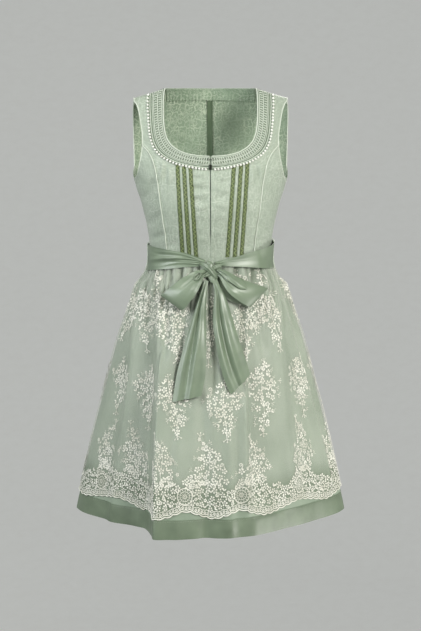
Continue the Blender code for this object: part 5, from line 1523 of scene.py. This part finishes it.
rayon, tree, shader = surface("cream_rayon_embroidery", Roughness=0.42, Sheen_Weight=0.25)
place = add(tree, "TexCoord").outputs["Object"]
stops = [(0.35, "#e0e0d2"), (0.65, "#f4f4e9")]
shade, floss = streaked(tree, place, (900.0, 900.0, 2600.0), 2.0, 30.0, 2.0, stops, (0.9, 1.06))
finish(tree, shader, shade, floss, 0.0003, 0.6)

run_low, run_high = net_run[-1, 0] + 0.004, net_run[-1, -1] - 0.004
TIER_ONE = lengths([  # x, top, bottom, width: metres
    (-170, 425, 515, 40), (-122, 412, 530, 70), (-72, 440, 548, 56), (-148, 425, 482, 48),
    (-97, 425, 492, 50), (98, 425, 490, 44), (4, 425, 550, 32), (66, 440, 560, 58), (132, 412, 530, 62),
    (176, 395, 480, 36),
])
TIER_TWO = lengths([
    (-188, 570, 672, 46), (-126, 575, 685, 60), (-75, 590, 700, 54), (30, 592, 700, 66),
    (108, 560, 692, 70), (186, 560, 675, 56),
])
TALL = lengths([  # x, top, width
    (-226, 705, 58), (-158, 700, 74), (-98, 708, 60), (-6, 708, 78), (88, 714, 70), (196, 690, 74),
])
tiers = {"upper": [], "middle": [], "tall": [], "border": []}
tier_rows = {"upper": row_at(0.48), "middle": row_at(0.63), "tall": NET_ROWS - 1, "border": NET_ROWS - 1}
for key, table, depth, spacing in (("upper", TIER_ONE, 0.48, 0.092), ("middle", TIER_TWO, 0.63, 0.112)):
    row = tier_rows[key]
    for x, top, bottom, width in table:
        spray(tiers[key], run_at(x, (top + bottom) / 2, row), top, bottom, width)
    start = run_at(table[-1][0], depth, row) + spacing
    stop = net_run[row, -1] - 0.035
    for run in np.linspace(start, stop, round((stop - start) / spacing) + 1):
        top = depth - 0.066 + rng.uniform(-0.012, 0.012)
        spray(tiers[key], run, top, top + rng.uniform(0.1, 0.122), rng.uniform(0.056, 0.07))
for x in (-0.03, 0.055, -0.105, 0.105):
    spray(tiers["upper"], run_at(x, 0.39, tier_rows["upper"]), 0.381, 0.405, 0.022)

tall_runs = [run_at(x, 0.79) for x, _, _ in TALL]
for (x, top, width), run in zip(TALL, tall_runs):
    spray(tiers["tall"], run, top, edge_at(run) - 0.062, width, up=True)
to_right = np.arange(tall_runs[-1] + 0.135, run_high - 0.03, 0.122)
to_left = np.arange(tall_runs[0] - 0.13, run_low + 0.03, -0.122)
for run in np.concatenate([to_right, to_left]):
    spray(
        tiers["tall"], run, edge_at(run) - rng.uniform(0.145, 0.172), edge_at(run) - 0.062,
        rng.uniform(0.052, 0.066), up=True,
    )
    tall_runs.append(run)
tall_runs = np.array(tall_runs)

MEDALLION_RADIUS = 0.016
medal_runs = [run_at(x, 0.83) for x in (-0.232, -0.052, 0.062, 0.185)]
medal_runs += list(np.arange(medal_runs[-1] + 0.13, run_high - 0.02, 0.128))
medal_runs += list(np.arange(medal_runs[0] - 0.13, run_low + 0.02, -0.128))
for run in medal_runs:
    sew(tiers["border"], medallion, run, edge_at(run) - 0.0305, rng.uniform(0, 0.5), MEDALLION_RADIUS)
medals = np.array(medal_runs)


def in_border(at, depth, margin):
    """The dense border: a band over the edge that rises into low mounds under the tall sprays."""
    height = edge_at(at) - depth
    near = float(np.min(np.abs(at - tall_runs)))
    top = 0.046 + 0.026 * math.exp(-((near / 0.034) ** 2)) + 0.005 * math.sin(at * 120)
    medal = float(np.min(np.hypot(at - medals, height - 0.0305)))
    return 0.015 + margin < height < top and medal > MEDALLION_RADIUS + margin + 0.001


taken = []
for start in np.arange(run_low, run_high, 0.03):
    stop = min(start + 0.03, run_high)
    edge = edge_at((start + stop) / 2)
    taken = [row for row in taken if row[0] > start - 0.015]
    taken = scatter(
        tiers["border"], in_border, (start, edge - 0.084), (stop, edge - 0.006), (start, edge), taken
    )
for run in np.arange(run_low, run_high, 0.0071):
    sew(tiers["border"], blossom, run, edge_at(run) - 0.008, rng.uniform(0, 6.28), 0.0036)
runs = np.linspace(run_low - 0.003, run_high + 0.003, 1400)
for height, width in ((0.013, 0.0014), (0.004, 0.0016)):
    path = np.column_stack([runs, edge_at(runs) - height + 0.0004 * np.sin(runs * 900)])
    tiers["border"].append(band_line(path, width, 0.0005))

for key, store in tiers.items():
    points = np.concatenate([shape_points for shape_points, _ in store])
    edges = edge_at(points[:, 0]) if key in ("tall", "border") else np.full(
        len(points), float(np.mean(edge_depth))
    )
    down = np.clip((points[:, 1] - SKIRT_TOP) / (edges - SKIRT_TOP), 0.02, 0.999)
    laid = on_net(points[:, 0], down, 0.00025 + points[:, 2], tier_rows[key])
    parts, start = [], 0
    for shape_points, shape_faces in store:
        parts.append((laid[start : start + len(shape_points)], shape_faces))
        start += len(shape_points)
    joined(f"embroidery_{key}", parts, rayon)

edge_line = net[-1] + net_out[-1] * 0.0002
cord_parts = [tube(resample(edge_line[cut], 0.0016), 0.00135, 6) for _, cut in SKIRT_PARTS]
joined("embroidery_edge_cord", cord_parts, rayon)


# Sash, bow and knot.
# One long strip of polyester satin, about 5.5 cm wide, that goes round the waist through two thread loops
# and is tied in a bow at the front. It creases towards the knot and catches the light on its folds.
sash_satin = satin("sage_sash_satin", "#70806a", "#7f9077", 0.4)
turns = np.linspace(BELT_EDGES[-1][0], BELT_EDGES[0][0], 380)
top, bottom = read_table(BELT_EDGES, turns).T
share = np.linspace(0, 1, 35)[:, None]
depth = -(top * (1 - share) + bottom * share)
relief = np.zeros_like(depth)
for side in (-1, 1):
    angle = (turns + 360 if side > 0 else -turns)[None, :]
    near = np.clip(1 - angle / 88, 0, 1)
    for middle, width, rise in (
        (0.12, 0.07, 0.0016), (0.38, 0.05, 0.002), (0.55, 0.06, 0.0013), (0.8, 0.07, 0.0019)
    ):
        place = 0.5 + (middle - 0.5) * (1.15 - 0.5 * near) + 0.05 * np.sin(angle * 0.11 + middle * 9)
        calm = (
            1 - 0.9 * np.clip((angle - 12) / 8, 0, 1) * np.clip((70 - angle) / 12, 0, 1) if side > 0 else 1.0
        )
        relief += (
            1.1 * calm * rise * near**1.3 * np.exp(-(((share - place) / width) ** 2)) * (angle > 0)
            * (angle < 88)
        )
right = (turns + 360)[None, :]
lens = (
    np.clip((right - 8) / 8, 0, 1) * (0.55 + 0.45 * np.clip((right - 16) / 32, 0, 1))
    * np.clip((66 - right) / 16, 0, 1)
)
relief += 0.28 * (top - bottom)[None, :] * lens * share
twist = np.clip((right - 50 - 9 * share) / 32, 0, 1)
relief += 0.0065 * np.sin(math.pi * twist) ** 0.7 * (1 - share) ** 1.2
left = (-turns)[None, :]
sag = np.clip((left - 20) / 64, 0, 1)
relief += 0.0034 * np.sin(math.pi * sag) * np.exp(-(((share - 0.3 - 0.35 * sag) / 0.1) ** 2))
back_turn = np.exp(-(((turns[None, :] + 180) / 70) ** 2))
upper_crease = np.exp(-(((share - 0.35 - 0.05 * np.sin(turns / 9)) / 0.06) ** 2))
lower_crease = np.exp(-(((share - 0.72 + 0.04 * np.sin(turns / 13)) / 0.05) ** 2))
relief += 0.0012 * back_turn * (upper_crease + 0.8 * lower_crease)
turns_net = turns[None, :] + 0 * depth
belt_out = belt_points(turns_net, depth, 0.0009 + relief)
belt_in = belt_points(turns_net, depth, 0.0003 + relief)
flat = np.stack([np.linspace(0, 0.76, 380)[None, :] + 0 * share, -share * 0.056 + 0 * depth], axis=-1)
belt = shell("sash_round_waist", belt_out, belt_in, flat, [sash_satin])
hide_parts("belt")

loop_parts = []
for turn, top_depth in ((90.0, 0.3172), (270.0, 0.3243)):
    ends = top_depth + np.array([-0.004, -0.0015, 0.06, 0.0625])
    drop = np.concatenate([ends[:2], np.linspace(top_depth, top_depth + 0.057, 12), ends[2:]])
    out = np.concatenate([[-0.0012, 0.0008], np.full(12, 0.0022), [0.001, -0.0004]])
    for shift in (-0.45, 0.45):
        line = belt_points(np.full(len(drop), turn + shift), drop, out)
        loop_parts.append(tube(line, 0.001, 6))
belt_loops = joined("belt_thread_loops", loop_parts, bias_cotton)
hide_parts("belt_loop_left", "belt_loop_right")

SASH_HALF = 0.0003  # half the satin's thickness
half_columns = fold_table[: side_column + 1 : FINE // 2]


def cloth_front_y(x, z):
    """The front of the overlay over the tops of its gathers, as the bow's solids lie on it."""
    x, z = np.broadcast_arrays(np.asarray(x, float), np.asarray(z, float))
    depths = np.linspace(0.358, 0.66, 80)
    lifts = OVERLAY_GAP + OVERLAY_WALL + table_value(GATHER_ROWS, depths)
    rows = [skirt_points(half_columns, d, lift) for d, lift in zip(depths, lifts)]
    spread = np.stack([np.interp(x.ravel(), row[:, 0], row[:, 1]) for row in rows])
    at = np.interp(np.maximum(-z.ravel(), 0.358), depths, np.arange(80))
    low = np.clip(np.floor(at).astype(int), 0, 78)
    part = at - low
    index = np.arange(x.size)
    return (spread[low, index] * (1 - part) + spread[low + 1, index] * part).reshape(x.shape)


def strip(name, node, points, flat):
    """A strip of the sash's satin along a net of points, which it lies to either side of."""
    out = np.cross(np.gradient(points, axis=1), np.gradient(points, axis=0))
    out /= np.linalg.norm(out, axis=-1, keepdims=True)
    piece = shell(name, points + out * SASH_HALF, points - out * SASH_HALF, flat, [sash_satin])
    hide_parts(node)


for side, rows in (("left", LOOP_LEFT), ("right", LOOP_RIGHT)):
    ways = np.linspace(0, 1, 91)
    ways = 0.5 + np.sign(ways - 0.5) * np.abs(2 * ways - 1) ** 1.5 / 2
    table = read_table(rows, ways)
    across = np.linspace(-1, 1, 35)[None, :]
    x = table[:, 0:1] + table[:, 2:3] * across
    z = table[:, 1:2] + table[:, 3:4] * across
    bulge = (1 - across**2) * 0.0025 * np.clip((table[:, 4:5] - 0.006) / 0.004, 0, 1)
    way = ways[:, None]
    puckers = 0
    for middle, width, rise in (
        (-0.6, 0.16, 0.0022), (-0.15, 0.12, 0.003), (0.3, 0.13, -0.0018), (0.66, 0.15, 0.0024)
    ):
        pucker = rise * np.exp(-(((across - middle * (0.75 + 0.8 * way)) / width) ** 2))
        puckers = puckers + pucker * np.clip(1 - way / 0.4, 0, 1) ** 1.4
    y = cloth_front_y(x, z) - table[:, 4:5] - bulge - puckers
    knot_pull = np.clip(1 - ways / 0.06, 0, 1)[:, None] + np.clip((ways - 0.94) / 0.06, 0, 1)[:, None]
    x = x * (1 - 0.45 * knot_pull)
    points = np.stack([x, y, z], axis=-1)
    flat = np.stack([across * 0.021 + 0 * way, way * 0.2 + 0 * across], axis=-1)[..., ::-1]
    strip(f"bow_loop_{side}_satin", f"bow_loop_{side}", points, flat)

TAIL_PROFILE = [  # share across, rise
    (0.0, 0.0), (0.2, 0.55), (0.4, -0.15), (0.6, 1.0), (0.8, 0.35), (1.0, 0.0),
]
for side, rows in (("left", TAIL_LEFT), ("right", TAIL_RIGHT)):
    table = read_table(rows, np.linspace(0, 1, 90))
    share = np.linspace(0, 1, 49)[None, :]
    x = table[:, 0:1] * (1 - share) + table[:, 2:3] * share
    z = table[:, 1:2] * (1 - share) + table[:, 3:4] * share
    down = np.linspace(0, 1, 90)[:, None]
    fold = table_value(TAIL_PROFILE, share)
    fold = fold + 0.22 * np.sin(9 * share + 3 * down) * (1 - down) + 0.1 * np.sin(17 * share - 2 * down)
    y = cloth_front_y(x, z) - table[:, 4:5] - table[:, 5:6] * fold
    top_pull = np.clip(1 - down / 0.05, 0, 1)
    points = np.stack([x, y, z + 0.008 * top_pull], axis=-1)
    flat = np.stack([down * 0.25 + 0 * share, share * 0.06 + 0 * down], axis=-1)
    strip(f"tail_{side}_satin", f"tail_{side}", points, flat)

# A fold of the right loop that lies over its front, and the rolled mouth of the left loop.
LEAF_FOLD = lengths([  # way along, x, z, half width, distance from the skirt
    (0.0, 13, -369, 2, 15), (0.2, 26, -374.5, 5.6, 24), (0.5, 44, -386, 7.8, 28.2),
    (0.8, 61, -398.5, 7.2, 26.8), (0.95, 70, -405, 4, 24), (1.0, 72.6, -407, 1.2, 22.8),
], 1)
ways = np.linspace(0, 1, 61)
table = read_table(LEAF_FOLD, ways)
across = np.linspace(-1, 1, 25)[None, :]
x = table[:, 0:1] + 0.55 * table[:, 2:3] * across
z = table[:, 1:2] + 0.84 * table[:, 2:3] * across
crown = (1 - across**2) * 0.003 + 0.0012 * np.sin(5 * across + 3 * ways[:, None]) * (1 - ways[:, None])
y = cloth_front_y(x, z) - table[:, 3:4] - crown
flat = np.stack([ways[:, None] * 0.075 + 0 * across, across * 0.008 + 0 * ways[:, None]], axis=-1)
points = np.stack([x, y, z], axis=-1)
leaf_fold = shell(
    "bow_loop_right_fold", points, points + np.array([0, 0.0006, 0]), flat, [sash_satin]
)

ring_angle = np.linspace(0, 2 * math.pi, 49)[:, None]
roll_angle = np.linspace(-2.4, 2.4, 13)[None, :]
reach = 0.0086 + 0.0014 * np.cos(roll_angle)
narrow = 0.004 + 0.0014 * np.cos(roll_angle)
over, aside = reach * np.cos(ring_angle), narrow * np.sin(ring_angle)
x = -0.0262 - 0.74 * over + 0.67 * aside
z = -0.3815 - 0.67 * over - 0.74 * aside
y = cloth_front_y(x, z) - 0.0228 - 0.0016 * np.sin(roll_angle) - 0.002 * np.cos(ring_angle - 0.6)
points = np.stack([x, y, z], axis=-1)
inner = points * 1.0
inner[..., 0] += 0.0004 * 0.74 * np.cos(ring_angle)
inner[..., 2] += 0.0004 * 0.67 * np.cos(ring_angle)
inner[..., 1] += 0.0005
flat = np.stack([ring_angle * 0.006 + 0 * roll_angle, roll_angle * 0.0015 + 0 * ring_angle], axis=-1)
shell("bow_loop_left_mouth", points, inner, flat, [sash_satin])

VISIBLE_KNOT = (0.0098, 0.0082, 0.0228)  # half width, half depth, half height under the wrapped folds
around, rings = 72, 48
polar = np.linspace(0.02, math.pi - 0.02, rings)[:, None]
angle = np.linspace(0, 2 * math.pi, around + 1)[None, :-1]
crease = (
    0.93 + 0.17 * np.abs(np.sin(2.5 * polar + 0.9 * angle + 0.4)) ** 0.6
    + 0.03 * np.sin(11 * polar - 3 * angle)
)
across = VISIBLE_KNOT[0] * np.sin(polar) * np.cos(angle) * crease
out = VISIBLE_KNOT[1] * np.sin(polar) * np.sin(angle) * crease + KNOT_SEAT * KNOT_HALF[1]
height = VISIBLE_KNOT[2] * np.cos(polar) * (0.97 + 0.03 * crease)
x = KNOT_CENTRE[0] - across * math.cos(KNOT_LEAN) - height * math.sin(KNOT_LEAN)
z = KNOT_CENTRE[1] + height * math.cos(KNOT_LEAN) - across * math.sin(KNOT_LEAN)
sash_y = float(belt_points(np.zeros(1), np.array([0.3595]), 0.0025)[0, 1])
skirt_y = [float(cloth_front_y(KNOT_CENTRE[0], height_there)) for height_there in (-0.4, -0.38, -0.372)]


def behind_knot(z):
    """What the knot lies on: the skirt below the sash, then the sash."""
    return np.interp(z, [-0.4, -0.38, -0.372, -0.36, -0.345], [*skirt_y, sash_y, sash_y])


points = np.stack([x, behind_knot(z) - 0.0006 - np.maximum(out, 0), z], axis=-1)
flat = np.stack([0.06 * angle / 6.28 + 0 * polar, 0.05 * polar / 3.14 + 0 * angle], axis=-1).reshape(-1, 2)
ring = np.arange(around)
after = np.roll(ring, -1)
faces = []
for low in around * np.arange(rings - 1):
    faces += np.stack([low + around + ring, low + around + after, low + after, low + ring], -1).tolist()
faces += [ring.tolist(), (ring[::-1] + (rings - 1) * around).tolist()]
points = points.reshape(-1, 3)
KNOT_FOLDS = [  # each fold: way along, x, z, distance out, half width
    lengths([
        (0.0, 22.5, -362.5, 5, 4.6), (0.3, 12.5, -365.5, 11.8, 6.2), (0.55, 2, -372, 14, 6.6),
        (0.8, -8.5, -379, 12.5, 6), (1.0, -16, -383.5, 7, 4.5),
    ], 1),
    lengths([
        (0.0, -20, -358.5, 4.5, 4.4), (0.25, -11.5, -362, 13, 6), (0.5, -1.5, -368.5, 18.5, 6.4),
        (0.75, 7.5, -378.5, 15.5, 6), (1.0, 13.5, -388, 7, 4.6),
    ], 1),
]
for number, rows in enumerate(KNOT_FOLDS):
    ways = np.linspace(0, 1, 41)
    table = read_table(rows, ways)
    heading = np.gradient(table[:, :2], axis=0)
    heading /= np.linalg.norm(heading, axis=1, keepdims=True)
    across = np.linspace(-1, 1, 21)[None, :]
    x = table[:, 0:1] - heading[:, 1:2] * table[:, 3:4] * across
    z = table[:, 1:2] + heading[:, 0:1] * table[:, 3:4] * across
    round_over = 0.0042 * (np.sqrt(np.clip(1 - (0.98 * across) ** 2, 0, 1)) - 0.6)
    lines = 0.0006 * np.sin(7 * across + 4 * ways[:, None] + number)
    y = behind_knot(z) - table[:, 2:3] - round_over - lines
    for layer in (0.0, 0.0006):
        start = len(points)
        points = np.concatenate([points, np.stack([x, y + layer, z], axis=-1).reshape(-1, 3)])
        fold_flat = np.stack([ways[:, None] * 0.05 + 0 * across, across * 0.006 + 0 * ways[:, None]], -1)
        flat = np.concatenate([flat, fold_flat.reshape(-1, 2)])
        index = start + np.arange(41 * 21).reshape(41, 21)
        quads = quads_of(index)
        faces += (quads if layer else quads[:, ::-1]).tolist()
    edge, after = rim_of(index)
    faces += np.stack([after - 41 * 21, after, edge, edge - 41 * 21], -1).tolist()
knot = piece_of("knot_satin", points, faces, [sash_satin], flat)
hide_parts("knot")
